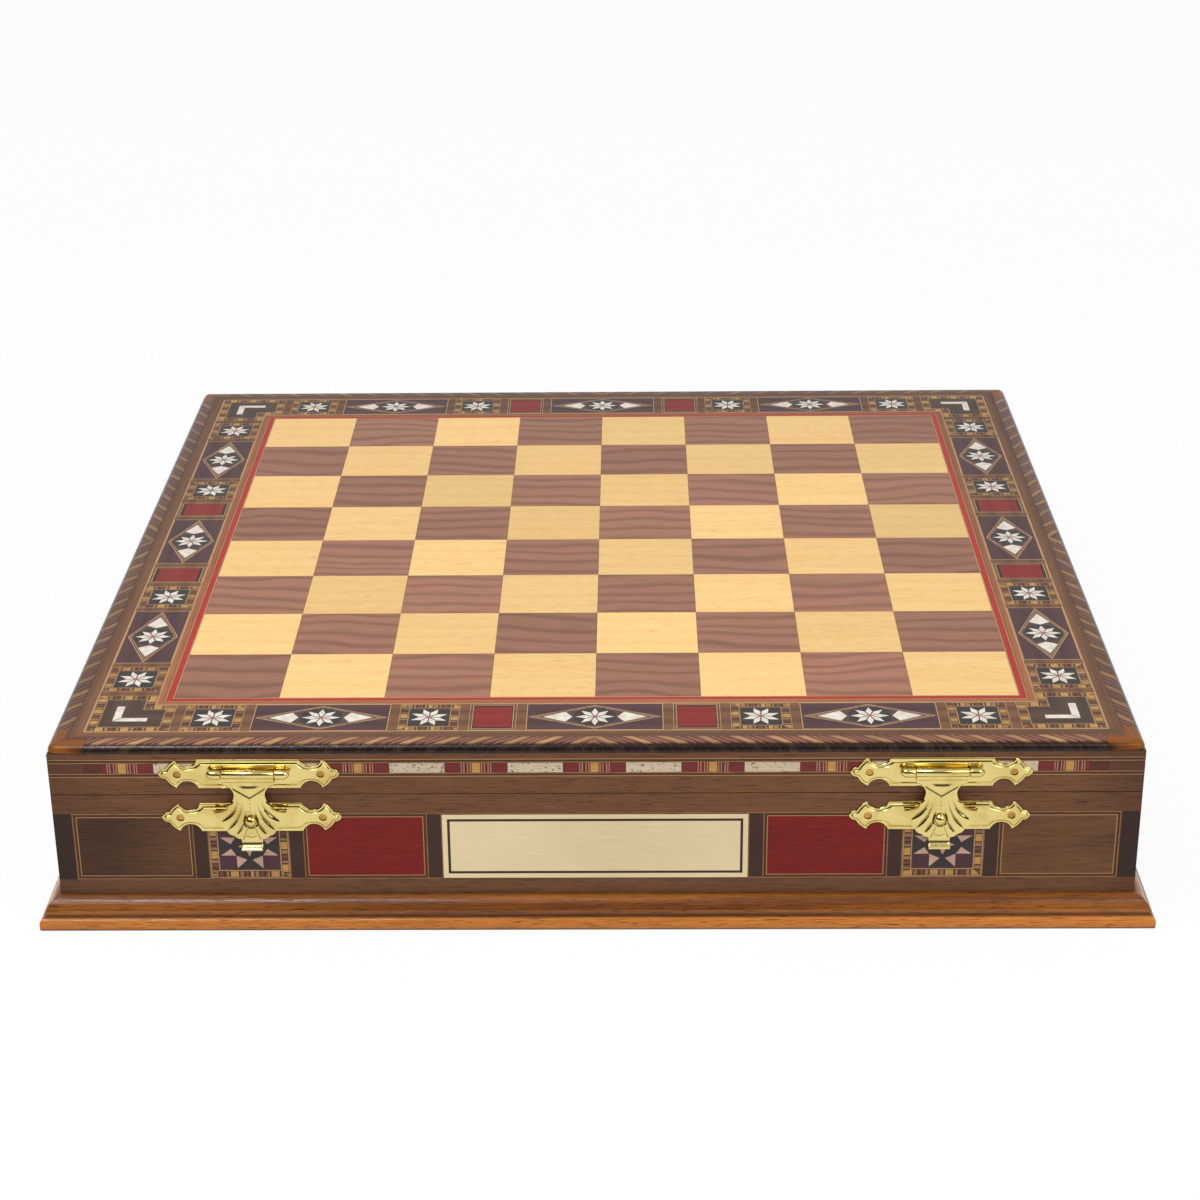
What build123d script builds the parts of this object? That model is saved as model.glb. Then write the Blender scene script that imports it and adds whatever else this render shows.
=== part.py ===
"""Wooden chess box: a marquetry board as a hinged lid over a divided, felt-lined case.

X runs to the right, Y to the back and Z up. The origin is on the table, under the middle of the box.
All lengths are in millimetres.
"""

from build123d import *
import os
from math import cos, radians, sin, tan

os.makedirs("parts", exist_ok=True)

# Playing field
square = 40.0
squares_per_side = 8

# Top border: widths of its rings, from the playing field outwards
string_width = 0.5
red_line_width = 2.2
inner_strip_width = 2.4
band_width = 22.7
outer_strip_width = 4.7
rope_width = 7.0

# Patterned blocks in the band
corner_block = 31.2
red_block_length = 17.9
block_gap = 3.5
star_frame_width = 3.75
red_frame_side = 1.8
red_frame_end = 2.8
corner_frame_width = 4.0
corner_angle_inset = 8.6
corner_angle_arm = 13.0
corner_angle_width = 3.0
rhombus_end_margin = 0.7
rhombus_side_margin = 1.3
kite_start = 8.4
kite_length = 11.1
kite_shoulder = 2.5
kite_height = 8.4
star_tip_radius = 7.3
star_valley_radius = 3.75
star_turn = 20.0
octagon_margin = 0.4
points_per_star = 8

# Heights
overall_height = 74.0
lid_height = 20.0
parting_gap = 0.3
plinth_height = 12.0

# Walls, panels and linings
wall_thickness = 11.0
bottom_recess = 1.0
bottom_thickness = 5.0
bottom_seat = 5.0
felt_thickness = 1.0
felt_gap = 0.3
divider_thickness = 6.0
divider_height = 36.0
divider_groove = 2.0
scoop_radius = 28.0
scoop_depth = 16.0
lid_core_thickness = 4.8
veneer_thickness = 1.2
inlay_depth = 1.0
rope_depth = 3.4
edge_radius = 3.0
edge_corner_length = 14.0

# Gap left around a glued piece, and around a piece that drops into a seat
glue_line = 0.05
seat_gap = 0.1

# Plinth moulding
plinth_projection = 7.6
plinth_ledge = 1.0
plinth_bead_height = 5.2
plinth_bead_step = 2.2
plinth_cove_height = 1.0
plinth_bottom_round = 1.3

# Marquetry on the four box walls, lengths along the wall from its middle
panel_bottom = 18.3
panel_height = 27.7
panel_end_margin = 7.0
name_plate_length = 113.4
stile_width = 5.0
red_panel_length = 45.4
wall_star_length = 29.6
wall_star_frame = 3.4
wall_corner_length = 6.5
wall_corner_height = 6.1
triangle_margin = 0.6
triangle_skew = 0.68
triangle_gap = 1.9
centre_ray_length = 3.0
centre_ray_width = 2.6
centre_ray_start = 1.4

# Name plate
name_plate_proud = 0.4
name_line_inset = 1.9
name_line_width = 1.0
name_line_depth = 0.4

# Banding on the lid walls, its place above the parting line
lid_banding_rise = 8.7
lid_banding_height = 4.0
lid_banding_end_margin = 20.0

# Clasps: the upper plates' place is above the parting line, the lower plates' below the upper ones
clasp_spacing = 254.0
upper_plate_rise = 8.65
plate_row_spacing = 17.9
plate_thickness = 1.0
plate_rim_width = 1.1
plate_rim_depth = 0.3
plate_half_length = 33.4
plate_half_height = 5.9
plate_edge_half = 18.9
plate_scallop_place = 22.8
plate_scallop_height = 3.0
plate_leaf_place = 27.0
plate_leaf_height = 5.7
plate_notch_place = 30.4
plate_notch_height = 2.2
plate_leaf_bulge = 0.3
nail_place = 26.4
nail_head_radius = 1.35
nail_head_height = 0.5
nail_radius = 0.7
nail_length = 6.0
barrel_radius = 1.7
barrel_rise = 1.2
barrel_length = 19.4
barrel_gap = 0.2
barrel_clearance = 0.6
boss_length = 5.6
boss_point = 2.6
hasp_pin_radius = 0.6
hasp_pin_length = 26.0
hasp_thickness = 1.0
hasp_clearance = 1.0
dome_radius = 2.2
dimple_radius = 1.5
stud_radius = 0.9
stud_proud = 0.7
groove_width = 0.45
groove_depth = 0.35

# Outline of one hasp: half widths, and drops below its barrel's axis
hasp_top_half = 9.3
hasp_shoulder_drop = 4.7
neck_half = 5.7
neck_drop = 8.5
wing_half = 13.6
wing_drop = 14.5
tongue_half = 3.9
tongue_drop = 27.2
scallop_corners = [(11.1, -19.7), (9.1, -23.4), (6.5, -25.7)]
scallop_bulge = 0.5
rib_starts = [(4.1, -11.6), (2.7, -12.4), (1.6, -15.2)]
rib_ends = [(10.4, -18.6), (8.4, -22.0), (5.7, -24.3)]
rib_bulge = 1.3
tongue_line_top = (1.5, -22.3)
tongue_line_bottom = (3.1, -26.9)
crease_half = 5.9
crease_top_drop = 6.2
crease_bottom_drop = 9.9
dome_drop = 19.5
curl_drop = 27.9
curl_radius = 2.2
curl_angle = 80.0

# Rear hinges
hinge_spacing = 240.0
hinge_setback = 3.5
lid_opening_angle = 97.0
stop_clearance_angle = 1.0
hinge_length = 50.0
knuckle_radius = 2.75
knuckle_gap = 0.1
swing_gap = 0.3
leaf_thickness = 1.2
leaf_reach = 6.8
hinge_pin_radius = 1.1
running_clearance = 0.05
screw_pitch = 17.0
screw_place = 4.9
screw_head_radius = 1.4
screw_radius = 0.8
screw_length = 7.0

# Rings of the top border, as half widths
field_half = square * squares_per_side / 2
red_line_inner = field_half + string_width
red_line_outer = red_line_inner + red_line_width
inner_strip_inner = red_line_outer + string_width
inner_strip_outer = inner_strip_inner + inner_strip_width
band_inner = inner_strip_outer + string_width
band_outer = band_inner + band_width
outer_strip_inner = band_outer + string_width
core_half = outer_strip_inner + outer_strip_width
box_half = core_half + rope_width
wall_inner = box_half - wall_thickness
band_middle = (band_inner + band_outer) / 2

# Places of the blocks along one side of the band
diamonds_per_side = 3
stars_per_side = 4
reds_per_side = 2
gaps_per_side = diamonds_per_side + stars_per_side + reds_per_side + 1
row_length = 2 * (band_outer - corner_block)
stars_and_reds = stars_per_side * band_width + reds_per_side * red_block_length
diamond_length = (row_length - stars_and_reds - gaps_per_side * block_gap) / diamonds_per_side
red_start = diamond_length / 2 + block_gap
near_star_start = red_start + red_block_length + block_gap
side_diamond_start = near_star_start + band_width + block_gap
far_star_start = side_diamond_start + diamond_length + block_gap

# Levels
parting_height = overall_height - lid_height
rim_height = parting_height - parting_gap / 2
lid_rim_height = parting_height + parting_gap / 2
floor_height = bottom_recess + bottom_thickness
felt_top = floor_height + felt_thickness
veneer_bottom = overall_height - veneer_thickness
core_bottom = veneer_bottom - lid_core_thickness
lid_wall_top = overall_height - rope_depth

# Places along one box wall, from its middle
plate_half = name_plate_length / 2
inner_stile_start = plate_half + string_width
red_panel_start = inner_stile_start + stile_width + string_width
middle_stile_start = red_panel_start + red_panel_length + string_width
wall_star_start = middle_stile_start + stile_width + string_width
outer_stile_start = wall_star_start + wall_star_length + string_width
end_panel_start = outer_stile_start + stile_width + string_width
panel_row_half = box_half - panel_end_margin
end_panel_end = panel_row_half - string_width
panel_middle = panel_bottom + panel_height / 2
inner_panel_height = panel_height - 2 * string_width

# Places of the clasp pieces, in front of the wall
clasp_places = (-clasp_spacing / 2, clasp_spacing / 2)
upper_plate_height = parting_height + upper_plate_rise
lower_plate_height = upper_plate_height - plate_row_spacing
barrel_height = upper_plate_height + barrel_rise
dome_height = barrel_height - dome_drop
barrel_axis_y = -(box_half + plate_thickness + barrel_clearance + barrel_radius)
hasp_back = plate_thickness + hasp_clearance
hasp_front = hasp_back + hasp_thickness

# Places of the rear hinges
hinge_y = box_half - hinge_setback
hinge_places = (-hinge_spacing / 2, hinge_spacing / 2)
screw_places = [place + step for place in hinge_places for step in (-screw_pitch, 0, screw_pitch)]
stop_angle = (lid_opening_angle + stop_clearance_angle) / 2
knuckle_edge = hinge_length / 6

sides = {"front": 0, "right": 90, "back": 180, "left": 270}
veneer_plane = Plane.XY.offset(veneer_bottom)
pieces = {}


def wall_plane(turn, distance):
    """Upright plane of one side: x along the side, y up, its normal outwards."""
    angle = radians(turn)
    middle = Plane(origin=(0, 0, 0), x_dir=(cos(angle), sin(angle), 0), z_dir=(sin(angle), -cos(angle), 0))
    return middle.offset(distance)


wall_faces = [wall_plane(turn, box_half) for turn in sides.values()]
front_face = wall_plane(sides["front"], box_half)


def mitred_strip(inner, outer):
    """Face of one strip of a square ring, on the front side, mitred at both ends."""
    Polygon(
        (-outer + glue_line, -outer),
        (outer - glue_line, -outer),
        (inner - glue_line, -inner),
        (-inner + glue_line, -inner),
        align=None,
    )


def both_ways(distance):
    """Two places on the front side's band, the same distance left and right of its middle."""
    return [(-distance, -band_middle), (distance, -band_middle)]


def star(gap):
    """Eight-pointed star, its outline drawn in by gap."""
    corners = []
    for corner in range(2 * points_per_star):
        radius = star_tip_radius - 2 * gap if corner % 2 == 0 else star_valley_radius - gap
        angle = radians(corner * 180 / points_per_star)
        corners.append((radius * cos(angle), radius * sin(angle)))
    Polygon(*corners)


def star_octagon(gap):
    """Octagon round a star, drawn in by gap, one side facing right."""
    half_step = 180 / points_per_star
    radius = star_tip_radius / cos(radians(half_step)) + octagon_margin
    RegularPolygon(radius - gap, points_per_star, rotation=half_step)


def rhombus(grow):
    """Lozenge of the long blocks, its outline moved outwards by grow."""
    half_length = diamond_length / 2 - rhombus_end_margin
    half_height = band_width / 2 - rhombus_side_margin
    inner_radius = half_length * half_height / (half_length**2 + half_height**2) ** 0.5
    scale_up = 1 + grow / inner_radius
    Polygon(
        (half_length * scale_up, 0),
        (0, half_height * scale_up),
        (-half_length * scale_up, 0),
        (0, -half_height * scale_up),
        align=None,
    )


def kites():
    """Two kite-shaped leaves, left and right of a long block's star."""
    shoulder = kite_start + kite_shoulder
    for way in (-1, 1):
        Polygon(
            (way * kite_start, 0),
            (way * shoulder, kite_height / 2),
            (way * (kite_start + kite_length), 0),
            (way * shoulder, -kite_height / 2),
            align=None,
        )


def corner_shape():
    """L-shaped face of one corner block, wrapped round the corner of the inner rings."""
    with Locations((band_outer - corner_block / 2, band_outer - corner_block / 2)):
        Rectangle(corner_block, corner_block)
    with Locations((band_inner / 2, band_inner / 2)):
        Rectangle(band_inner, band_inner, mode=Mode.SUBTRACT)


def wall_row(start, length):
    """Faces of one kind of panel, left and right of a wall's middle."""
    middle = start + length / 2
    with Locations((-middle, panel_middle), (middle, panel_middle)):
        Rectangle(length - 2 * glue_line, inner_panel_height - 2 * glue_line)


def nail_centres(height):
    """Places of a plate row's nails on the front face."""
    return [(place + way * nail_place, height) for place in clasp_places for way in (-1, 1)]


def cut_nail_holes(height):
    """Cut the holes of one plate row's nails into the active part."""
    with BuildSketch(front_face) as holes:
        with Locations(*nail_centres(height)):
            Circle(nail_radius + glue_line)
    extrude(holes.sketch, amount=-(nail_length + seat_gap), mode=Mode.SUBTRACT)


def cut_hinge_groove(way):
    """Bevel the back of the active part behind the hinge axis: way is 1 for the lid and -1 for the box."""
    reach = 2 * hinge_setback
    with BuildSketch(Plane.YZ.offset(-box_half)) as groove:
        Polygon(
            (hinge_y, parting_height),
            (hinge_y + reach, parting_height),
            (hinge_y + reach, parting_height + way * reach * tan(radians(stop_angle))),
            align=None,
        )
    extrude(groove.sketch, amount=2 * box_half, mode=Mode.SUBTRACT)


def cut_hinge_seats(way):
    """Cut knuckle grooves, leaf mortises and screw holes: way is 1 for the lid and -1 for the box."""
    rim = parting_height + way * parting_gap / 2
    with Locations(*[(place, hinge_y, parting_height) for place in hinge_places]):
        Cylinder(
            knuckle_radius + swing_gap,
            hinge_length + 2 * seat_gap,
            rotation=(0, 90, 0),
            mode=Mode.SUBTRACT,
        )
    depth = leaf_thickness + glue_line
    with Locations(*[(place, hinge_y - leaf_reach / 2, rim + way * depth / 2) for place in hinge_places]):
        Box(hinge_length + 2 * seat_gap, leaf_reach + 2 * seat_gap, depth, mode=Mode.SUBTRACT)
    screw_middle = rim + way * (screw_length + seat_gap) / 2
    with Locations(*[(x, hinge_y - screw_place, screw_middle) for x in screw_places]):
        Cylinder(screw_radius + glue_line, screw_length + seat_gap, mode=Mode.SUBTRACT)


# Case: four mitred walls, rebated for the bottom panel and pocketed for the marquetry
for side, turn in sides.items():
    with BuildPart() as wall:
        with BuildSketch(Plane.XY.rotated((0, 0, turn))):
            mitred_strip(wall_inner, box_half)
        extrude(amount=rim_height)
        with BuildSketch():
            Rectangle(2 * (wall_inner + bottom_seat), 2 * (wall_inner + bottom_seat))
        extrude(amount=floor_height, mode=Mode.SUBTRACT)
        with BuildSketch(wall_plane(turn, box_half)):
            with Locations((0, panel_middle)):
                Rectangle(2 * panel_row_half, panel_height)
        extrude(amount=-inlay_depth, mode=Mode.SUBTRACT)
        with BuildSketch(Plane.XY.offset(floor_height)):
            Rectangle(divider_thickness + 2 * seat_gap, 2 * (wall_inner + divider_groove))
        extrude(amount=felt_thickness + divider_height, mode=Mode.SUBTRACT)
        cut_hinge_groove(-1)
        cut_hinge_seats(-1)
        cut_nail_holes(lower_plate_height)
    pieces["wall_" + side] = wall.part

with BuildPart() as bottom_panel:
    with BuildSketch(Plane.XY.offset(bottom_recess)):
        bottom_width = 2 * (wall_inner + bottom_seat - seat_gap)
        Rectangle(bottom_width, bottom_width)
    extrude(amount=bottom_thickness)
pieces["bottom_panel"] = bottom_panel.part

with BuildPart() as floor_felt:
    with BuildSketch(Plane.XY.offset(floor_height)):
        felt_length = 2 * (wall_inner - felt_gap)
        felt_width = wall_inner - divider_thickness / 2 - 2 * felt_gap
        felt_middle = (wall_inner + divider_thickness / 2) / 2
        with Locations((-felt_middle, 0), (felt_middle, 0)):
            Rectangle(felt_width, felt_length)
    extrude(amount=felt_thickness)
pieces["floor_felt"] = floor_felt.part

with BuildPart() as divider:
    divider_top = felt_top + divider_height - seat_gap
    divider_length = 2 * (wall_inner + divider_groove - seat_gap)
    with BuildSketch(Plane.YZ.offset(-divider_thickness / 2)):
        with Locations((0, (floor_height + divider_top) / 2)):
            Rectangle(divider_length, divider_top - floor_height)
        with Locations((0, divider_top + scoop_radius - scoop_depth)):
            Circle(scoop_radius, mode=Mode.SUBTRACT)
    extrude(amount=divider_thickness)
pieces["divider"] = divider.part

# Plinth: one moulded strip, mitred and set round the foot of the case
plinth_half = box_half + plinth_projection
with BuildPart() as plinth_strip:
    with BuildSketch(wall_plane(sides["right"], -plinth_half)):
        bead_face = plinth_half - plinth_bottom_round
        cove_face = plinth_half - plinth_bead_step
        cove_top = plinth_bead_height + plinth_cove_height
        ledge = box_half + plinth_ledge
        with BuildLine():
            Line((-box_half, 0), (-bead_face, 0))
            TangentArc((-bead_face, 0), (-plinth_half, plinth_bottom_round), tangent=(-1, 0))
            Line((-plinth_half, plinth_bottom_round), (-plinth_half, plinth_bead_height - plinth_bead_step))
            TangentArc(
                (-plinth_half, plinth_bead_height - plinth_bead_step),
                (-cove_face, plinth_bead_height),
                tangent=(0, 1),
            )
            Line((-cove_face, plinth_bead_height), (-cove_face, cove_top))
            TangentArc((-cove_face, cove_top), (-ledge, plinth_height), tangent=(0, 1))
            Line((-ledge, plinth_height), (-box_half, plinth_height))
            Line((-box_half, plinth_height), (-box_half, 0))
        make_face()
    extrude(amount=2 * plinth_half)
    with BuildSketch():
        mitred_strip(box_half, plinth_half)
    extrude(amount=plinth_height, mode=Mode.INTERSECT)
for side, turn in sides.items():
    with BuildPart() as plinth_side:
        add(plinth_strip.part, rotation=(0, 0, turn))
    pieces["plinth_" + side] = plinth_side.part

# Marquetry of the box walls
with BuildPart() as wall_strings:
    with BuildSketch(*wall_faces):
        string_rise = (panel_height - string_width) / 2
        with Locations((0, panel_middle - string_rise), (0, panel_middle + string_rise)):
            Rectangle(2 * panel_row_half - 2 * glue_line, string_width - 2 * glue_line)
        string_ends = (
            inner_stile_start,
            red_panel_start,
            middle_stile_start,
            wall_star_start,
            outer_stile_start,
            end_panel_start,
            panel_row_half,
        )
        for string_end in string_ends:
            string_place = string_end - string_width / 2
            with Locations((-string_place, panel_middle), (string_place, panel_middle)):
                Rectangle(string_width - 2 * glue_line, inner_panel_height - 2 * glue_line)
    extrude(amount=-inlay_depth)
    cut_nail_holes(lower_plate_height)
pieces["wall_strings"] = wall_strings.part

with BuildPart() as end_panels:
    with BuildSketch(*wall_faces):
        wall_row(end_panel_start, end_panel_end - end_panel_start)
    extrude(amount=-inlay_depth)
    cut_nail_holes(lower_plate_height)
pieces["end_panels"] = end_panels.part

with BuildPart() as red_panels:
    with BuildSketch(*wall_faces):
        wall_row(red_panel_start, red_panel_length)
    extrude(amount=-inlay_depth)
    cut_nail_holes(lower_plate_height)
pieces["red_panels"] = red_panels.part

with BuildPart() as wall_stiles:
    with BuildSketch(*wall_faces):
        for stile_start in (inner_stile_start, middle_stile_start, outer_stile_start):
            wall_row(stile_start, stile_width)
    extrude(amount=-inlay_depth)
    cut_nail_holes(lower_plate_height)
pieces["wall_stiles"] = wall_stiles.part

with BuildPart() as centre_panels:
    with BuildSketch(*wall_faces[1:]):
        with Locations((0, panel_middle)):
            Rectangle(name_plate_length - 2 * glue_line, inner_panel_height - 2 * glue_line)
    extrude(amount=-inlay_depth)
pieces["centre_panels"] = centre_panels.part

# Star blocks of the walls: a banding frame round an ebony ground with corners, triangles and rays
star_field_length = wall_star_length - 2 * wall_star_frame
star_field_height = inner_panel_height - 2 * wall_star_frame
wall_star_middle = wall_star_start + wall_star_length / 2
wall_star_places = [(-wall_star_middle, panel_middle), (wall_star_middle, panel_middle)]
corner_x = star_field_length / 2 - wall_corner_length
corner_z = star_field_height / 2 - wall_corner_height


def wall_corners():
    """Four wine-coloured rectangles in the corners of a wall star."""
    corner_places = [
        (x * (corner_x + wall_corner_length / 2), z * (corner_z + wall_corner_height / 2))
        for x in (-1, 1)
        for z in (-1, 1)
    ]
    with Locations(*corner_places):
        Rectangle(wall_corner_length, wall_corner_height)


def wall_triangles():
    """Eight triangles on the inner sides of the corners, leaning to the middle of the star."""
    for x in (-1, 1):
        for z in (-1, 1):
            outer_x = star_field_length / 2 - triangle_margin
            lean_x = outer_x - triangle_skew * (outer_x - corner_x)
            Polygon(
                (x * outer_x, z * corner_z),
                (x * corner_x, z * corner_z),
                (x * lean_x, z * triangle_gap / 2),
                align=None,
            )
            outer_z = star_field_height / 2 - triangle_margin
            lean_z = outer_z - triangle_skew * (outer_z - corner_z)
            Polygon(
                (x * corner_x, z * outer_z),
                (x * corner_x, z * corner_z),
                (x * triangle_gap / 2, z * lean_z),
                align=None,
            )


def centre_rays():
    """Four small rays round the middle of a wall star."""
    with PolarLocations(0, 4):
        Polygon(
            (centre_ray_start, -centre_ray_width / 2),
            (centre_ray_start + centre_ray_length, 0),
            (centre_ray_start, centre_ray_width / 2),
            align=None,
        )


with BuildPart() as wall_star_frames:
    with BuildSketch(*wall_faces):
        with Locations(*wall_star_places):
            Rectangle(wall_star_length - 2 * glue_line, inner_panel_height - 2 * glue_line)
            Rectangle(star_field_length, star_field_height, mode=Mode.SUBTRACT)
    extrude(amount=-inlay_depth)
    cut_nail_holes(lower_plate_height)
pieces["wall_star_frames"] = wall_star_frames.part

with BuildSketch() as star_ground:
    Rectangle(star_field_length - 2 * glue_line, star_field_height - 2 * glue_line)
    with BuildSketch(mode=Mode.SUBTRACT):
        wall_corners()
        wall_triangles()
        centre_rays()
with BuildSketch() as star_corners:
    wall_corners()
    offset(amount=-glue_line, kind=Kind.INTERSECTION)
with BuildSketch() as star_rays:
    wall_triangles()
    centre_rays()
    offset(amount=-glue_line, kind=Kind.INTERSECTION)
wall_star_layers = {
    "wall_star_grounds": star_ground,
    "wall_star_corners": star_corners,
    "wall_star_rays": star_rays,
}
for name, layer in wall_star_layers.items():
    with BuildPart() as wall_star:
        with BuildSketch(*wall_faces):
            with Locations(*wall_star_places):
                add(layer.sketch)
        extrude(amount=-inlay_depth)
        cut_nail_holes(lower_plate_height)
    pieces[name] = wall_star.part

# Name plate, bare, with its dark filled border line
line_length = name_plate_length - 2 * name_line_inset
line_height = inner_panel_height - 2 * name_line_inset


def name_line(gap):
    """Ring of the border line, narrowed by gap on each side."""
    with Locations((0, panel_middle)):
        Rectangle(line_length - 2 * gap, line_height - 2 * gap)
        Rectangle(
            line_length - 2 * name_line_width + 2 * gap,
            line_height - 2 * name_line_width + 2 * gap,
            mode=Mode.SUBTRACT,
        )


with BuildPart() as name_plate:
    with BuildSketch(front_face.offset(-inlay_depth)):
        with Locations((0, panel_middle)):
            Rectangle(name_plate_length - 2 * glue_line, inner_panel_height - 2 * glue_line)
    extrude(amount=inlay_depth + name_plate_proud)
    with BuildSketch(front_face.offset(name_plate_proud)):
        name_line(0)
    extrude(amount=-name_line_depth, mode=Mode.SUBTRACT)
pieces["name_plate"] = name_plate.part

with BuildPart() as name_plate_line:
    with BuildSketch(front_face.offset(name_plate_proud - name_line_depth)):
        name_line(glue_line)
    extrude(amount=name_line_depth - glue_line)
pieces["name_plate_line"] = name_plate_line.part

# Lid: four mitred walls with a rebate for the board and a pocket for the banding
banding_half = box_half - lid_banding_end_margin
banding_middle = parting_height + lid_banding_rise + lid_banding_height / 2
banding_pocket = lid_banding_height + 2 * string_width
for side, turn in sides.items():
    with BuildPart() as lid_wall:
        with BuildSketch(Plane.XY.rotated((0, 0, turn)).offset(lid_rim_height)):
            mitred_strip(wall_inner, box_half)
        extrude(amount=lid_wall_top - lid_rim_height)
        with BuildSketch(Plane.XY.offset(core_bottom)):
            Rectangle(2 * core_half, 2 * core_half)
        extrude(amount=lid_wall_top - core_bottom, mode=Mode.SUBTRACT)
        with BuildSketch(wall_plane(turn, box_half)):
            with Locations((0, banding_middle)):
                Rectangle(2 * banding_half, banding_pocket)
        extrude(amount=-inlay_depth, mode=Mode.SUBTRACT)
        cut_hinge_groove(1)
        cut_hinge_seats(1)
        cut_nail_holes(upper_plate_height)
    pieces["lid_wall_" + side] = lid_wall.part

with BuildPart() as lid_banding:
    with BuildSketch(*wall_faces):
        with Locations((0, banding_middle)):
            Rectangle(2 * banding_half - 2 * glue_line, lid_banding_height - 2 * glue_line)
    extrude(amount=-inlay_depth)
    cut_nail_holes(upper_plate_height)
pieces["lid_banding"] = lid_banding.part

with BuildPart() as lid_banding_strings:
    with BuildSketch(*wall_faces):
        rise = (lid_banding_height + string_width) / 2
        with Locations((0, banding_middle - rise), (0, banding_middle + rise)):
            Rectangle(2 * banding_half - 2 * glue_line, string_width - 2 * glue_line)
    extrude(amount=-inlay_depth)
    cut_nail_holes(upper_plate_height)
pieces["lid_banding_strings"] = lid_banding_strings.part

with BuildPart() as lid_core:
    with BuildSketch(Plane.XY.offset(core_bottom)):
        Rectangle(2 * (core_half - seat_gap), 2 * (core_half - seat_gap))
    extrude(amount=lid_core_thickness)
pieces["lid_core"] = lid_core.part

with BuildPart() as lid_felt:
    with BuildSketch(Plane.XY.offset(core_bottom - felt_thickness)):
        Rectangle(2 * (wall_inner - felt_gap), 2 * (wall_inner - felt_gap))
    extrude(amount=felt_thickness)
pieces["lid_felt"] = lid_felt.part

# Playing squares
square_places = {"dark_squares": [], "light_squares": []}
for column in range(squares_per_side):
    for row in range(squares_per_side):
        shade = "dark_squares" if (column + row) % 2 == 0 else "light_squares"
        centre_x = (column + 0.5) * square - field_half
        centre_y = (row + 0.5) * square - field_half
        square_places[shade].append((centre_x, centre_y))
for shade, places in square_places.items():
    with BuildPart() as squares:
        with BuildSketch(veneer_plane):
            with Locations(*places):
                Rectangle(square - 2 * glue_line, square - 2 * glue_line)
        extrude(amount=veneer_thickness)
    pieces[shade] = squares.part

# Red line round the playing field
with BuildPart() as red_line:
    with BuildSketch(veneer_plane):
        with PolarLocations(0, 4):
            mitred_strip(red_line_inner + glue_line, red_line_outer - glue_line)
    extrude(amount=veneer_thickness)
pieces["red_line"] = red_line.part

# Walnut of the border: an inner and an outer strip, and bars between the blocks of the band
bar_starts = (
    diamond_length / 2,
    red_start + red_block_length,
    near_star_start + band_width,
    side_diamond_start + diamond_length,
    far_star_start + band_width,
)
inlay_band = band_width - 2 * glue_line
with BuildPart() as border_walnut:
    with BuildSketch(veneer_plane):
        with PolarLocations(0, 4):
            mitred_strip(inner_strip_inner + glue_line, inner_strip_outer - glue_line)
            mitred_strip(outer_strip_inner + glue_line, core_half - glue_line)
            for bar_start in bar_starts:
                with Locations(*both_ways(bar_start + block_gap / 2)):
                    Rectangle(block_gap - 2 * glue_line, inlay_band)
    extrude(amount=veneer_thickness)
pieces["border_walnut"] = border_walnut.part

# Long blocks: ground, lozenge line, kites and star
side_diamond_middle = side_diamond_start + diamond_length / 2
diamond_places = [(0, -band_middle)] + both_ways(side_diamond_middle)

with BuildSketch() as long_block:
    Rectangle(diamond_length - 2 * glue_line, inlay_band)
    with BuildSketch(mode=Mode.SUBTRACT):
        rhombus(0)
    with BuildSketch():
        rhombus(-string_width)
        with BuildSketch(mode=Mode.SUBTRACT):
            star_octagon(-glue_line)
            kites()
with BuildSketch() as lozenge_line:
    rhombus(-glue_line)
    with BuildSketch(mode=Mode.SUBTRACT):
        rhombus(-string_width + glue_line)
with BuildSketch() as kite_pair:
    kites()
    offset(amount=-glue_line, kind=Kind.INTERSECTION)
long_block_layers = {"diamond_grounds": long_block, "pearl_kites": kite_pair}
for name, layer in long_block_layers.items():
    with BuildPart() as long_blocks:
        with BuildSketch(veneer_plane):
            with PolarLocations(0, 4):
                with Locations(*diamond_places):
                    add(layer.sketch)
        extrude(amount=veneer_thickness)
    pieces[name] = long_blocks.part

# Light lines: rings between the strips of the border, and the lozenges of the long blocks
string_rings = [
    (field_half, red_line_inner),
    (red_line_outer, inner_strip_inner),
    (inner_strip_outer, band_inner),
    (band_outer, outer_strip_inner),
]
with BuildPart() as board_strings:
    with BuildSketch(veneer_plane):
        with PolarLocations(0, 4):
            for string_inner, string_outer in string_rings:
                mitred_strip(string_inner + glue_line, string_outer - glue_line)
            with Locations(*diamond_places):
                add(lozenge_line.sketch)
    extrude(amount=veneer_thickness)
pieces["board_strings"] = board_strings.part

# Square star blocks: banding frame, ebony ground and star
near_star_middle = near_star_start + band_width / 2
far_star_middle = far_star_start + band_width / 2
star_places = both_ways(near_star_middle) + both_ways(far_star_middle)
star_field = band_width - 2 * star_frame_width
with BuildPart() as star_frames:
    with BuildSketch(veneer_plane):
        with PolarLocations(0, 4):
            with Locations(*star_places):
                Rectangle(inlay_band, inlay_band)
                Rectangle(star_field, star_field, mode=Mode.SUBTRACT)
    extrude(amount=veneer_thickness)
pieces["star_frames"] = star_frames.part

with BuildSketch() as square_ground:
    Rectangle(star_field - 2 * glue_line, star_field - 2 * glue_line)
    with BuildSketch(mode=Mode.SUBTRACT):
        with Locations(Location((0, 0, 0), (0, 0, star_turn))):
            star(0)
with BuildSketch() as octagon_ground:
    star_octagon(0)
    with BuildSketch(mode=Mode.SUBTRACT):
        star(0)
with BuildPart() as star_grounds:
    with BuildSketch(veneer_plane):
        with PolarLocations(0, 4):
            with Locations(*star_places):
                add(square_ground.sketch)
            with Locations(*diamond_places):
                add(octagon_ground.sketch)
    extrude(amount=veneer_thickness)
pieces["star_grounds"] = star_grounds.part

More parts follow.
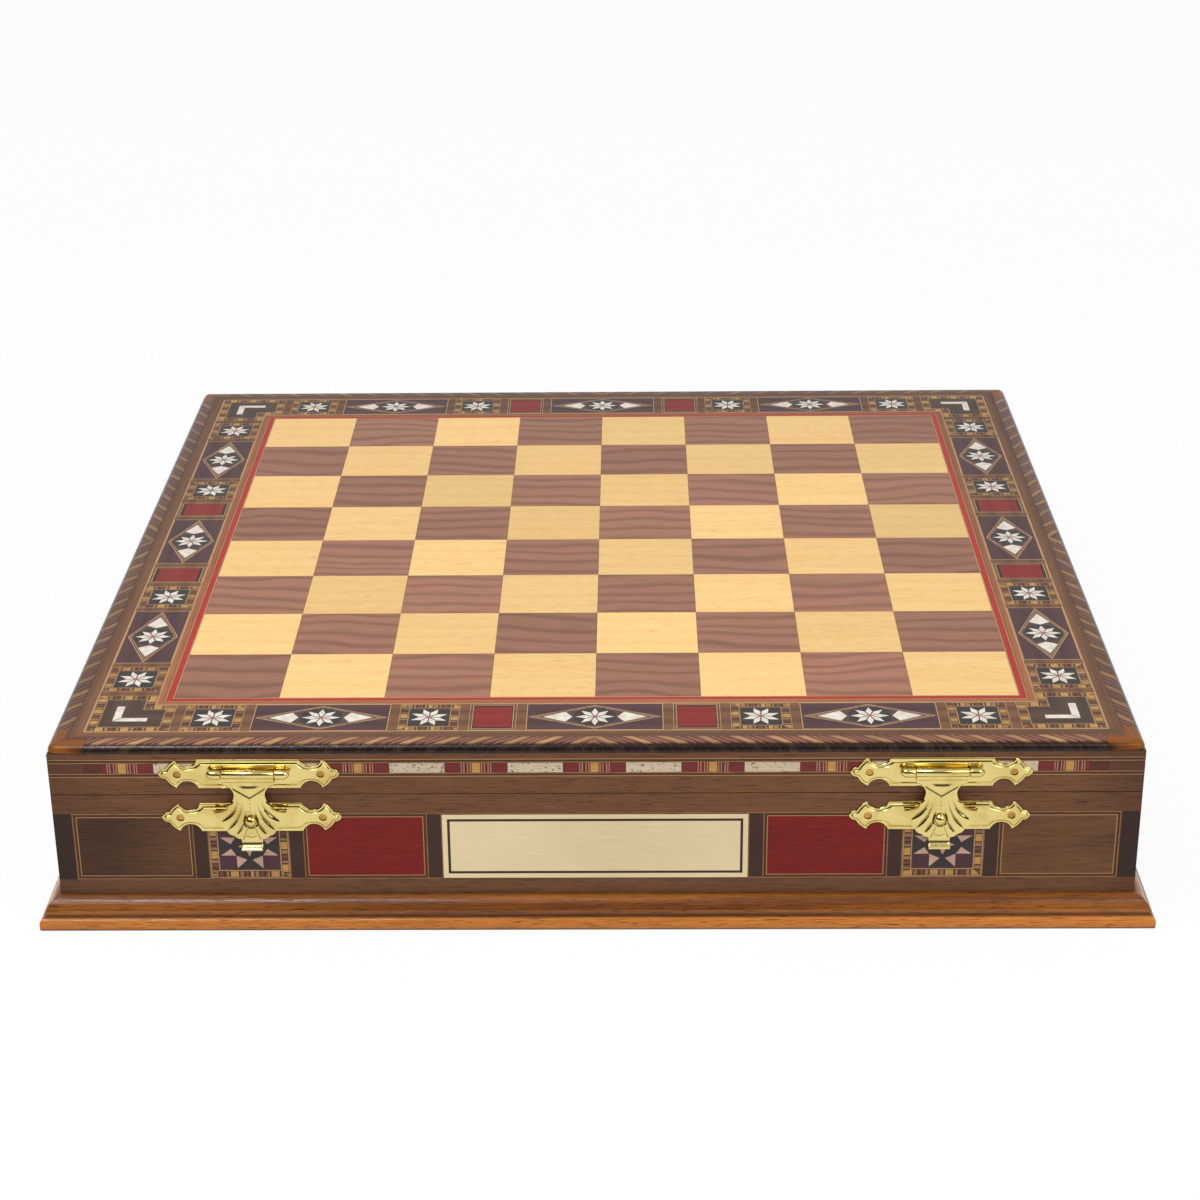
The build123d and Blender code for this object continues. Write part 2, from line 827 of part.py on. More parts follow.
with BuildPart() as pearl_stars:
    with BuildSketch(veneer_plane):
        with PolarLocations(0, 4):
            with Locations(*[Location((x, y, 0), (0, 0, star_turn)) for x, y in star_places]):
                star(glue_line)
            with Locations(*diamond_places):
                star(glue_line)
    extrude(amount=veneer_thickness)
pieces["pearl_stars"] = pearl_stars.part

# Red blocks in their frames of light lines
red_places = both_ways(red_start + red_block_length / 2)
red_length = red_block_length - 2 * red_frame_side
red_width = band_width - 2 * red_frame_end
with BuildPart() as red_block_frames:
    with BuildSketch(veneer_plane):
        with PolarLocations(0, 4):
            with Locations(*red_places):
                Rectangle(red_block_length - 2 * glue_line, inlay_band)
                Rectangle(red_length, red_width, mode=Mode.SUBTRACT)
    extrude(amount=veneer_thickness)
pieces["red_block_frames"] = red_block_frames.part

with BuildPart() as red_blocks:
    with BuildSketch(veneer_plane):
        with PolarLocations(0, 4):
            with Locations(*red_places):
                Rectangle(red_length - 2 * glue_line, red_width - 2 * glue_line)
    extrude(amount=veneer_thickness)
pieces["red_blocks"] = red_blocks.part

# Corner blocks: banding frame, walnut ground and a white angle
angle_corner = band_outer - corner_angle_inset
angle_middle = angle_corner - corner_angle_arm / 2


def corner_angle():
    """White mitred angle in one corner block, its point towards the box corner."""
    with Locations((angle_middle, angle_middle)):
        Rectangle(corner_angle_arm, corner_angle_arm)
    inner_middle = angle_middle - corner_angle_width
    with Locations((inner_middle, inner_middle)):
        Rectangle(corner_angle_arm, corner_angle_arm, mode=Mode.SUBTRACT)


with BuildSketch() as corner_ring:
    corner_shape()
    offset(amount=-glue_line, kind=Kind.INTERSECTION)
    with BuildSketch(mode=Mode.SUBTRACT):
        corner_shape()
        offset(amount=-corner_frame_width, kind=Kind.INTERSECTION)
with BuildSketch() as corner_ground:
    corner_shape()
    offset(amount=-(corner_frame_width + glue_line), kind=Kind.INTERSECTION)
    with BuildSketch(mode=Mode.SUBTRACT):
        corner_angle()
with BuildSketch() as white_angle:
    corner_angle()
    offset(amount=-glue_line, kind=Kind.INTERSECTION)
corner_layers = {
    "corner_frames": corner_ring,
    "corner_grounds": corner_ground,
    "corner_angles": white_angle,
}
for name, layer in corner_layers.items():
    with BuildPart() as corner_blocks:
        with BuildSketch(veneer_plane):
            with PolarLocations(0, 4):
                add(layer.sketch)
        extrude(amount=veneer_thickness)
    pieces[name] = corner_blocks.part


# Rope edging round the top of the lid, its outer edge rounded, with plain corner pieces
with BuildPart() as edge_ring:
    with BuildSketch(Plane.XY.offset(lid_wall_top)):
        Rectangle(2 * box_half, 2 * box_half)
        Rectangle(2 * (core_half + glue_line), 2 * (core_half + glue_line), mode=Mode.SUBTRACT)
    extrude(amount=rope_depth)
    top_face = edge_ring.faces().sort_by(Axis.Z)[-1]
    fillet(top_face.outer_wire().edges(), edge_radius)


strip_half = box_half - edge_corner_length
with BuildPart() as edge_strips:
    add(edge_ring.part)
    with BuildSketch(Plane.XY.offset(lid_wall_top)):
        with PolarLocations(0, 4):
            with Locations((0, -box_half)):
                Rectangle(2 * (strip_half - glue_line), 2 * edge_corner_length)
    extrude(amount=rope_depth, mode=Mode.INTERSECT)
pieces["edge_strips"] = edge_strips.part

with BuildPart() as edge_corners:
    add(edge_ring.part)
    with BuildSketch(Plane.XY.offset(lid_wall_top)):
        with GridLocations(2 * box_half, 2 * box_half, 2, 2):
            Rectangle(2 * (edge_corner_length - glue_line), 2 * (edge_corner_length - glue_line))
    extrude(amount=rope_depth, mode=Mode.INTERSECT)
pieces["edge_corners"] = edge_corners.part


# Clasps: long plates with a straight middle and leaf-shaped ends
with BuildSketch() as plate_shape:
    with BuildLine():
        Line((0, plate_half_height), (plate_edge_half, plate_half_height))
        ThreePointArc(
            (plate_edge_half, plate_half_height),
            (plate_scallop_place, plate_scallop_height),
            (plate_leaf_place, plate_leaf_height),
        )
        leaf_middle_x = (plate_leaf_place + plate_notch_place) / 2
        leaf_middle_z = (plate_leaf_height + plate_notch_height) / 2
        ThreePointArc(
            (plate_leaf_place, plate_leaf_height),
            (leaf_middle_x + plate_leaf_bulge, leaf_middle_z + plate_leaf_bulge),
            (plate_notch_place, plate_notch_height),
        )
        TangentArc((plate_notch_place, plate_notch_height), (plate_half_length, 0), tangent=(1, 0))
        mirror(about=Plane.XZ)
        mirror(about=Plane.YZ)
    make_face()


def clasp_plates(height):
    """Both plates of one row: a base with a raised inner field, and holes for the nails."""
    base = plate_thickness - plate_rim_depth
    with BuildSketch(front_face) as outlines:
        with Locations(*[(place, height) for place in clasp_places]):
            add(plate_shape.sketch)
    extrude(outlines.sketch, amount=base)
    with BuildSketch(front_face.offset(base)) as fields:
        with Locations(*[(place, height) for place in clasp_places]):
            add(plate_field.sketch)
    extrude(fields.sketch, amount=plate_rim_depth)
    with BuildSketch(front_face) as holes:
        with Locations(*nail_centres(height)):
            Circle(nail_head_radius + seat_gap)
    extrude(holes.sketch, amount=plate_thickness, mode=Mode.SUBTRACT)


with BuildSketch() as plate_field:
    add(plate_shape.sketch)
    offset(amount=-plate_rim_width)

boss_start = barrel_length / 2 + barrel_gap
boss_body = boss_length - boss_point
boss_middle = boss_start + boss_body / 2
lug_depth = barrel_clearance + barrel_radius
barrel_plane = Plane(origin=(0, barrel_axis_y, barrel_height), x_dir=(1, 0, 0), z_dir=(0, -1, 0))
with BuildPart() as boss:
    with BuildSketch(barrel_plane):
        with BuildLine():
            Line((boss_start, 0), (boss_start, barrel_radius))
            Line((boss_start, barrel_radius), (boss_start + boss_body, barrel_radius))
            TangentArc(
                (boss_start + boss_body, barrel_radius),
                (boss_start + boss_length, 0),
                tangent=(1, 0),
            )
            Line((boss_start + boss_length, 0), (boss_start, 0))
        make_face()
    revolve(axis=Axis((0, barrel_axis_y, barrel_height), (1, 0, 0)))
    with Locations((boss_middle, barrel_axis_y + lug_depth / 2, barrel_height)):
        Box(boss_body, lug_depth, 2 * barrel_radius * cos(radians(45)))

with BuildPart() as upper_plates:
    clasp_plates(upper_plate_height)
    for place in clasp_places:
        with Locations((place, 0, 0)):
            add(boss.part)
            add(mirror(boss.part, about=Plane.YZ, mode=Mode.PRIVATE))
        with Locations((place, barrel_axis_y, barrel_height)):
            Cylinder(
                hasp_pin_radius + running_clearance,
                hasp_pin_length + 2 * seat_gap,
                rotation=(0, 90, 0),
                mode=Mode.SUBTRACT,
            )
pieces["clasp_plates"] = upper_plates.part

with BuildPart() as lower_plates:
    clasp_plates(lower_plate_height)
    with BuildSketch(front_face.offset(plate_thickness)):
        with Locations(*[(place, dome_height) for place in clasp_places]):
            Circle(stud_radius)
    extrude(amount=stud_proud)
pieces["catch_plates"] = lower_plates.part


def nails(height):
    """Nails of one plate row: a low round head on the wall and a shank into the wood."""
    with BuildSketch(front_face) as shanks:
        with Locations(*nail_centres(height)):
            Circle(nail_radius)
    extrude(shanks.sketch, amount=-nail_length)
    with BuildSketch(front_face) as heads:
        with Locations(*nail_centres(height)):
            Circle(nail_head_radius)
    extrude(heads.sketch, amount=nail_head_height)


nail_rows = {"clasp_nails": upper_plate_height, "catch_nails": lower_plate_height}
for name, height in nail_rows.items():
    with BuildPart() as nail_row:
        nails(height)
    pieces[name] = nail_row.part

with BuildPart() as hasp_pins:
    with Locations(*[(place, barrel_axis_y, barrel_height) for place in clasp_places]):
        Cylinder(hasp_pin_radius, hasp_pin_length, rotation=(0, 90, 0))
pieces["hasp_pins"] = hasp_pins.part

# Hasp: a curled sheet cut to a shell-shaped outline, with its barrel and snap dome
fan_points = [(wing_half, -wing_drop)] + scallop_corners + [(tongue_half, -tongue_drop)]
hasp_face = Plane(origin=(0, -box_half, barrel_height), x_dir=(1, 0, 0), z_dir=(0, -1, 0))
hasp_side = Plane(origin=(-wing_half, 0, barrel_height), x_dir=(0, 1, 0), z_dir=(1, 0, 0))
curl_tip = radians(curl_angle)
curl_y = -(box_half + hasp_front + curl_radius)
back_radius = curl_radius + hasp_thickness


def curl_point(radius, angle):
    """Point on the lip's curl, angle turning from the sheet's back down and forwards."""
    return (curl_y + radius * cos(angle), -curl_drop - radius * sin(angle))


with BuildPart() as hasp:
    with BuildSketch(hasp_face):
        with BuildLine():
            Line((0, 0), (hasp_top_half, 0))
            Line((hasp_top_half, 0), (hasp_top_half, -hasp_shoulder_drop))
            ThreePointArc(
                (hasp_top_half, -hasp_shoulder_drop),
                ((hasp_top_half + 2 * neck_half) / 3, -(2 * hasp_shoulder_drop + neck_drop) / 3),
                (neck_half, -neck_drop),
            )
            TangentArc((neck_half, -neck_drop), (wing_half, -wing_drop), tangent=(0, -1))
            for fan_start, fan_end in zip(fan_points, fan_points[1:]):
                SagittaArc(fan_start, fan_end, scallop_bulge)
            Line((tongue_half, -tongue_drop), (tongue_half, -barrel_height))
            Line((tongue_half, -barrel_height), (0, -barrel_height))
            mirror(about=Plane.YZ)
        make_face()
    extrude(amount=hasp_front + back_radius)
    with BuildSketch(hasp_side):
        with BuildLine():
            back_y = -(box_half + hasp_back)
            front_y = -(box_half + hasp_front)
            Line((back_y, 0), (back_y, -curl_drop))
            ThreePointArc(
                (back_y, -curl_drop),
                curl_point(back_radius, curl_tip / 2),
                curl_point(back_radius, curl_tip),
            )
            Line(curl_point(back_radius, curl_tip), curl_point(curl_radius, curl_tip))
            ThreePointArc(
                curl_point(curl_radius, curl_tip),
                curl_point(curl_radius, curl_tip / 2),
                (front_y, -curl_drop),
            )
            Line((front_y, -curl_drop), (front_y, 0))
            Line((front_y, 0), (back_y, 0))
        make_face()
    extrude(amount=2 * wing_half, mode=Mode.INTERSECT)
    with BuildSketch(hasp_face.offset(hasp_front)):
        with BuildLine():
            for rib_start, rib_end in zip(rib_starts, rib_ends):
                SagittaArc(rib_start, rib_end, -rib_bulge)
            Line(tongue_line_top, tongue_line_bottom)
            Line((0, -crease_bottom_drop), (crease_half, -crease_top_drop))
            Line((crease_half, -crease_top_drop), (0, -crease_top_drop))
            mirror(about=Plane.YZ)
        trace(line_width=groove_width)
    extrude(amount=-groove_depth, mode=Mode.SUBTRACT)
    with Locations((0, -(box_half + hasp_front - groove_depth), dome_height)):
        Sphere(dome_radius)
    with BuildSketch(hasp_face):
        with Locations((0, -dome_drop)):
            Circle(2 * dome_radius)
    extrude(amount=hasp_back, mode=Mode.SUBTRACT)
    with Locations((0, -(box_half + hasp_back), dome_height)):
        Sphere(dimple_radius, mode=Mode.SUBTRACT)
    with Locations((0, barrel_axis_y, barrel_height)):
        Cylinder(barrel_radius, barrel_length, rotation=(0, 90, 0))
        Cylinder(
            hasp_pin_radius + running_clearance,
            barrel_length,
            rotation=(0, 90, 0),
            mode=Mode.SUBTRACT,
        )
for name, place in zip(("hasp_left", "hasp_right"), clasp_places):
    with BuildPart() as placed_hasp:
        with Locations((place, 0, 0)):
            add(hasp.part)
    pieces[name] = placed_hasp.part

# Rear hinges: two butt hinges let into the rims, their knuckles in the bevelled groove
outer_span = hinge_length / 2 - knuckle_edge - knuckle_gap
outer_middle = knuckle_edge + knuckle_gap + outer_span / 2
middle_span = 2 * (knuckle_edge - knuckle_gap)
box_knuckles = [(-outer_middle, outer_span), (outer_middle, outer_span)]
lid_knuckles = [(0, middle_span)]
screw_head_depth = screw_head_radius - screw_radius


def hinge_leaves(way, own_knuckles, other_knuckles):
    """Both leaves of one half: way is 1 for the lid and -1 for the box."""
    rim = parting_height + way * parting_gap / 2
    middle_y = hinge_y - leaf_reach / 2
    with Locations(*[(place, middle_y, rim + way * leaf_thickness / 2) for place in hinge_places]):
        Box(hinge_length, leaf_reach, leaf_thickness)
    for knuckle_place, span in other_knuckles:
        with Locations(*[(place + knuckle_place, hinge_y, parting_height) for place in hinge_places]):
            Cylinder(
                knuckle_radius + swing_gap,
                span + 2 * knuckle_gap,
                rotation=(0, 90, 0),
                mode=Mode.SUBTRACT,
            )
    for knuckle_place, span in own_knuckles:
        with Locations(*[(place + knuckle_place, hinge_y, parting_height) for place in hinge_places]):
            Cylinder(knuckle_radius, span, rotation=(0, 90, 0))
    with Locations(*[(place, hinge_y, parting_height) for place in hinge_places]):
        Cylinder(
            hinge_pin_radius + running_clearance,
            hinge_length,
            rotation=(0, 90, 0),
            mode=Mode.SUBTRACT,
        )
    with BuildSketch(Plane.XY.offset(rim)) as heads:
        with Locations(*[(x, hinge_y - screw_place) for x in screw_places]):
            Circle(screw_head_radius + glue_line)
    extrude(heads.sketch, amount=way * screw_head_depth, taper=45, mode=Mode.SUBTRACT)
    with BuildSketch(Plane.XY.offset(rim)) as shanks:
        with Locations(*[(x, hinge_y - screw_place) for x in screw_places]):
            Circle(screw_radius + glue_line)
    extrude(shanks.sketch, amount=way * leaf_thickness, mode=Mode.SUBTRACT)


def hinge_screws(way):
    """Countersunk screws of one half: way is 1 for the lid and -1 for the box."""
    rim = parting_height + way * parting_gap / 2
    with BuildSketch(Plane.XY.offset(rim)) as heads:
        with Locations(*[(x, hinge_y - screw_place) for x in screw_places]):
            Circle(screw_head_radius)
    extrude(heads.sketch, amount=way * screw_head_depth, taper=45)
    with BuildSketch(Plane.XY.offset(rim)) as shanks:
        with Locations(*[(x, hinge_y - screw_place) for x in screw_places]):
            Circle(screw_radius)
    extrude(shanks.sketch, amount=way * screw_length)


halves = {"box": (-1, box_knuckles, lid_knuckles), "lid": (1, lid_knuckles, box_knuckles)}
for half, (way, own_knuckles, other_knuckles) in halves.items():
    with BuildPart() as leaves:
        hinge_leaves(way, own_knuckles, other_knuckles)
    pieces["hinge_leaves_" + half] = leaves.part
    with BuildPart() as screws:
        hinge_screws(way)
    pieces["hinge_screws_" + half] = screws.part

with BuildPart() as hinge_pins:
    with Locations(*[(place, hinge_y, parting_height) for place in hinge_places]):
        Cylinder(hinge_pin_radius, hinge_length, rotation=(0, 90, 0))
pieces["hinge_pins"] = hinge_pins.part

for name, piece in pieces.items():
    piece.label = name
    export_step(piece, "parts/" + name + ".step")
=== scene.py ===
from cmath import phase, rect
from math import cos, exp, hypot, pi, radians, sin, tan
import bmesh
import bpy
from mathutils import Matrix, Vector


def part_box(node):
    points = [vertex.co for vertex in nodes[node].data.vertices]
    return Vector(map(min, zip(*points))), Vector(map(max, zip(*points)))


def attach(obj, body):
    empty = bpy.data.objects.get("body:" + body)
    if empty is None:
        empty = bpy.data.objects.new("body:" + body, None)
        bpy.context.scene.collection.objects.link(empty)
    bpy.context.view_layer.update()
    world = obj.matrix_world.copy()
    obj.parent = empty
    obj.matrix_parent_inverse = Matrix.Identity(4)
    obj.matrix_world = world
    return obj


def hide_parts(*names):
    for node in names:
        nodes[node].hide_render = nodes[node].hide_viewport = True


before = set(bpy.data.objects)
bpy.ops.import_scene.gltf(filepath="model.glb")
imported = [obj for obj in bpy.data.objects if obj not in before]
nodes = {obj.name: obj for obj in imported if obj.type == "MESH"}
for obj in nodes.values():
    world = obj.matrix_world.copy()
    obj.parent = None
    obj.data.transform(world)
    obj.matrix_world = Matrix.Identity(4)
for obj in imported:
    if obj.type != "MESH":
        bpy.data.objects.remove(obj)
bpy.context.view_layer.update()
print("frame loaded with", len(nodes), "nodes")

millimetre = 0.001


# colours are written as they look on a screen, from 0 to 255
def paint(red, green, blue):
    linear = []
    for level in (red, green, blue):
        share = level / 255
        linear.append(share / 12.92 if share <= 0.04045 else ((share + 0.055) / 1.055) ** 2.4)
    return (*linear, 1.0)


# a socket that can be written in sums
class Wire:
    def __init__(self, tree, socket):
        self.tree = tree
        self.socket = socket

    def math(self, operation, *others):
        made = self.tree.nodes.new("ShaderNodeMath")
        made.operation = operation
        for index, value in enumerate((self, *others)):
            plug(made.inputs[index], value)
        return Wire(self.tree, made.outputs[0])

    def __add__(self, other):
        return self.math("ADD", other)

    def __sub__(self, other):
        return self.math("SUBTRACT", other)

    def __mul__(self, other):
        return self.math("MULTIPLY", other)

    def __truediv__(self, other):
        return self.math("DIVIDE", other)

    def below(self, other):
        return self.math("LESS_THAN", other)

    def above(self, other):
        return self.math("GREATER_THAN", other)

    def size(self):
        return self.math("ABSOLUTE")

    def floor(self):
        return self.math("FLOOR")

    def part(self):
        return self.math("FRACT")


def plug(socket, value):
    if isinstance(value, Wire):
        value.tree.links.new(value.socket, socket)
    else:
        socket.default_value = value


def addNode(tree, kind, inputs=None, output=0, **settings):
    made = tree.nodes.new("ShaderNode" + kind)
    for name, value in settings.items():
        setattr(made, name, value)
    for name, value in (inputs or {}).items():
        plug(made.inputs[name], value)
    return Wire(tree, made.outputs[output])


def mixColours(tree, share, first, second):
    made = tree.nodes.new("ShaderNodeMix")
    made.data_type = "RGBA"
    plug(made.inputs[0], share)
    plug(made.inputs[6], first)
    plug(made.inputs[7], second)
    return Wire(tree, made.outputs[2])


def choose(share, first, second):
    tree = share.tree
    made = tree.nodes.new("ShaderNodeMix")
    plug(made.inputs[0], share)
    plug(made.inputs[2], first)
    plug(made.inputs[3], second)
    return Wire(tree, made.outputs[0])


# colour bands: each stop holds from its place to the next one
def bands(tree, place, stops, smooth=False):
    made = tree.nodes.new("ShaderNodeValToRGB")
    ramp = made.color_ramp
    ramp.interpolation = "LINEAR" if smooth else "CONSTANT"
    while len(ramp.elements) < len(stops):
        ramp.elements.new(1.0)
    for element, (start, colour) in zip(ramp.elements, stops):
        element.position = start
        element.color = colour
    plug(made.inputs[0], place)
    return Wire(tree, made.outputs[0])


def vectorOf(tree, x, y, z):
    return addNode(tree, "CombineXYZ", {"X": x, "Y": y, "Z": z})


def partsOf(tree, vector):
    made = tree.nodes.new("ShaderNodeSeparateXYZ")
    plug(made.inputs[0], vector)
    return [Wire(tree, output) for output in made.outputs]


def stretched(tree, vector, scale):
    return addNode(tree, "VectorMath", {0: vector, 1: scale}, operation="MULTIPLY")


def noise(tree, vector, scale, detail=2.0, roughness=0.5):
    inputs = {"Vector": vector, "Scale": scale, "Detail": detail, "Roughness": roughness}
    return addNode(tree, "TexNoise", inputs)


def toned(tree, colour, value):
    return addNode(tree, "HueSaturation", {"Value": value, "Color": colour})


# from first to last while the value goes from start to end
def fade(tree, value, start, end, first=0.0, last=1.0):
    return addNode(tree, "MapRange", {0: value, 1: start, 2: end, 3: first, 4: last})


def inMillimetres(tree, position):
    return [wire * 1000 for wire in partsOf(tree, position)]


def newGroup(name, inputs, outputs):
    group = bpy.data.node_groups.new(name, "ShaderNodeTree")
    for socketName, kind, value in inputs:
        socket = group.interface.new_socket(socketName, in_out="INPUT", socket_type=kind)
        if value is not None:
            socket.default_value = value
    for socketName, kind in outputs:
        group.interface.new_socket(socketName, in_out="OUTPUT", socket_type=kind)
    entry = group.nodes.new("NodeGroupInput")
    leave = group.nodes.new("NodeGroupOutput")
    wires = {socketName: Wire(group, entry.outputs[socketName]) for socketName, kind, value in inputs}
    return group, wires, leave


def useGroup(tree, group, inputs):
    made = tree.nodes.new("ShaderNodeGroup")
    made.node_tree = group
    for name, value in inputs.items():
        plug(made.inputs[name], value)
    return {output.name: Wire(tree, output) for output in made.outputs}


sideShift = 517.0  # keeps the grain of one side from showing again on the next


# millimetres along one side of the box, out from its middle, and up: the same on all four sides
def buildSideFrame():
    group, wires, leave = newGroup(
        "sideFrame",
        [("Position", "NodeSocketVector", None)],
        [
            ("Along", "NodeSocketFloat"),
            ("Across", "NodeSocketFloat"),
            ("Height", "NodeSocketFloat"),
            ("Round", "NodeSocketFloat"),
            ("Side", "NodeSocketFloat"),
            ("Vector", "NodeSocketVector"),
        ],
    )
    x, y, z = inMillimetres(group, wires["Position"])
    onSide = x.size().above(y.size())
    along = choose(onSide, x, y)
    across = x.size().math("MAXIMUM", y.size())
    far = choose(onSide, y, x).above(0.0)
    side = onSide * 2 + far
    turned = along * ((onSide - far).size() * -2 + 1)
    vector = vectorOf(group, along + side * sideShift, across, z)
    results = {
        "Along": along,
        "Across": across,
        "Height": z,
        "Round": turned,
        "Side": side,
        "Vector": vector,
    }
    for name, wire in results.items():
        plug(leave.inputs[name], wire)
    return group


# middles of the stars along one side of the border, and how far out the band's middle lies
border = {
    "bandMiddle": 177.45,
    "starMiddles": (61.85, 102.3, 142.75),
    "starLimits": (31.0, 75.0, 129.7),
}


# millimetres from the middle of the nearest star, the same way round on every side
def buildStarFrame():
    group, wires, leave = newGroup(
        "starFrame",
        [("Position", "NodeSocketVector", None)],
        [
            ("X", "NodeSocketFloat"),
            ("Y", "NodeSocketFloat"),
            ("Middle", "NodeSocketFloat"),
            ("Chance", "NodeSocketFloat"),
        ],
    )
    side = useGroup(group, sideFrame, {"Position": wires["Position"]})
    reach = side["Along"].size()
    middle = reach * 0.0
    last = 0.0
    for limit, place in zip(border["starLimits"], border["starMiddles"]):
        middle = middle + reach.above(limit) * (place - last)
        last = place
    way = side["Round"].above(0.0) * 2 - 1
    chance = addNode(group, "TexWhiteNoise", {"Vector": vectorOf(group, middle, way, side["Side"])})
    plug(leave.inputs["X"], side["Round"] - way * middle)
    plug(leave.inputs["Y"], side["Across"] * -1 + border["bandMiddle"])
    plug(leave.inputs["Middle"], middle)
    plug(leave.inputs["Chance"], chance)
    return group


# wood grain running along X, positions in millimetres
grain = {
    "ringStretch": (0.11, 1.0, 1.0),
    "ringScale": 0.03,
    "ringDetail": 3.0,
    "ringDetailScale": 0.55,
    "ringPower": 2.5,
    "rings": 0.6,
    "streakStretch": (0.05, 1.6, 1.6),
    "streaks": 1.1,
    "cloudScale": 0.06,
    "clouds": 0.5,
    "less": 0.48,
    "poreStretch": (0.16, 3.4, 3.4),
    "poreFrom": 0.56,
    "poreTo": 0.72,
}


def buildWoodGrain():
    group, wires, leave = newGroup(
        "woodGrain",
        [
            ("Position", "NodeSocketVector", None),
            ("Light", "NodeSocketColor", None),
            ("Dark", "NodeSocketColor", None),
            ("Pore", "NodeSocketColor", None),
            ("Figure", "NodeSocketFloat", 0.5),
            ("Waves", "NodeSocketFloat", 6.0),
            ("Pores", "NodeSocketFloat", 0.5),
        ],
        [("Colour", "NodeSocketColor"), ("Relief", "NodeSocketFloat")],
    )
    drawn = stretched(group, wires["Position"], grain["ringStretch"])
    ringInputs = {
        "Vector": drawn,
        "Scale": grain["ringScale"],
        "Distortion": wires["Waves"],
        "Detail": grain["ringDetail"],
        "Detail Scale": grain["ringDetailScale"],
    }
    rings = addNode(group, "TexWave", ringInputs, output=1, wave_type="BANDS", bands_direction="Y")
    streaks = noise(group, stretched(group, wires["Position"], grain["streakStretch"]), 1.0, 4.0, 0.6)
    clouds = noise(group, drawn, grain["cloudScale"])
    tone = rings.math("POWER", grain["ringPower"]) * grain["rings"] + streaks * grain["streaks"]
    tone = tone + clouds * grain["clouds"] - grain["less"]
    share = choose(wires["Figure"], clouds, tone)
    share.socket.node.clamp_factor = False
    held = share.math("MAXIMUM", 0.0).math("MINIMUM", 1.0)
    shade = mixColours(group, held, wires["Light"], wires["Dark"])
    poreNoise = noise(group, stretched(group, wires["Position"], grain["poreStretch"]), 1.0)
    black, white = (0, 0, 0, 1), (1, 1, 1, 1)
    poreStops = [(0.0, black), (grain["poreFrom"], black), (grain["poreTo"], white)]
    poreShare = bands(group, poreNoise, poreStops, smooth=True) * wires["Pores"]
    plug(leave.inputs["Colour"], mixColours(group, poreShare, shade, wires["Pore"]))
    plug(leave.inputs["Relief"], streaks - poreShare)
    return group


sideFrame = buildSideFrame()
starFrame = buildStarFrame()
woodGrain = buildWoodGrain()
print("shared node groups built")


def newMaterial(name):
    material = bpy.data.materials.new(name)
    material.use_nodes = True
    tree = material.node_tree
    shader = tree.nodes["Principled BSDF"]
    position = Wire(tree, tree.nodes.new("ShaderNodeTexCoord").outputs["Object"])
    return material, tree, shader, position


# the varnish is a little rougher where the grain stands up
def finishWood(tree, shader, colour, relief, roughness=0.4, bump=0.02, specular=0.22):
    plug(shader.inputs["Base Color"], colour)
    plug(shader.inputs["Roughness"], relief * 0.12 + (roughness - 0.06))
    shader.inputs["Specular IOR Level"].default_value = specular
    raised = addNode(tree, "Bump", {"Height": relief, "Strength": bump, "Distance": 0.5 * millimetre})
    plug(shader.inputs["Normal"], raised)


def sideWires(tree, position):
    return useGroup(tree, sideFrame, {"Position": position})


def grainOf(tree, vector, wood):
    return useGroup(
        tree,
        woodGrain,
        {
            "Position": vector,
            "Light": paint(*wood["light"]),
            "Dark": paint(*wood["dark"]),
            "Pore": paint(*wood["pore"]),
            "Figure": wood["figure"],
            "Waves": wood["waves"],
            "Pores": wood["pores"],
        },
    )


# a plain veneer: its grain runs along the side it lies on
def sideWood(name, wood, **finish):
    material, tree, shader, position = newMaterial(name)
    veneer = grainOf(tree, sideWires(tree, position)["Vector"], wood)
    finishWood(tree, shader, veneer["Colour"], veneer["Relief"], **finish)
    return material


def dress(material, *names):
    for name in names:
        data = nodes[name].data
        data.materials.clear()
        data.materials.append(material)


# walnut of the case and the lid walls
caseWood = {
    "light": (124, 80, 50),
    "dark": (74, 45, 27),
    "pore": (38, 23, 16),
    "figure": 1.0,
    "waves": 6.0,
    "pores": 0.75,
}
sides = ("front", "right", "back", "left")
cornerShade = {"start": 176.0, "end": 200.0, "tone": 0.72}
# the row of wall panels, and the light line inside a panel's edge with brown before it
panelEdge = {"low": 18.35, "high": 45.95, "brownTo": 1.3, "lineTo": 1.65}
endStile = {"start": 194.2, "across": 200.5, "share": 0.9, "colour": (50, 32, 26)}


def darkerCorners(tree, side, colour):
    reach = side["Along"].size()
    value = fade(tree, reach, cornerShade["start"], cornerShade["end"], 1.0, cornerShade["tone"])
    return toned(tree, colour, value)


def caseVeneer():
    material, tree, shader, position = newMaterial("caseWalnut")
    side = sideWires(tree, position)
    veneer = grainOf(tree, side["Vector"], caseWood)
    inRow = side["Height"].above(panelEdge["low"]) * side["Height"].below(panelEdge["high"])
    stile = inRow * side["Along"].size().above(endStile["start"]) * side["Across"].above(endStile["across"])
    colour = mixColours(tree, stile * endStile["share"], veneer["Colour"], paint(*endStile["colour"]))
    finishWood(tree, shader, darkerCorners(tree, side, colour), veneer["Relief"], roughness=0.38)
    return material


dress(caseVeneer(), *["wall_" + side for side in sides], "divider")

# the lid's banding runs on to the corners, and a second thin line runs above it and below
lidLines = {
    "start": 181.0,
    "wineTo": 188.0,
    "low": 62.45,
    "high": 66.95,
    "apart": 1.2,
    "half": 0.17,
    "filling": 0.8,
    "shadowing": 0.7,
    "lining": 0.85,
    "wine": (82, 38, 34),
    "brown": (98, 58, 40),
    "line": (176, 132, 88),
    "shadow": (52, 30, 20),
}


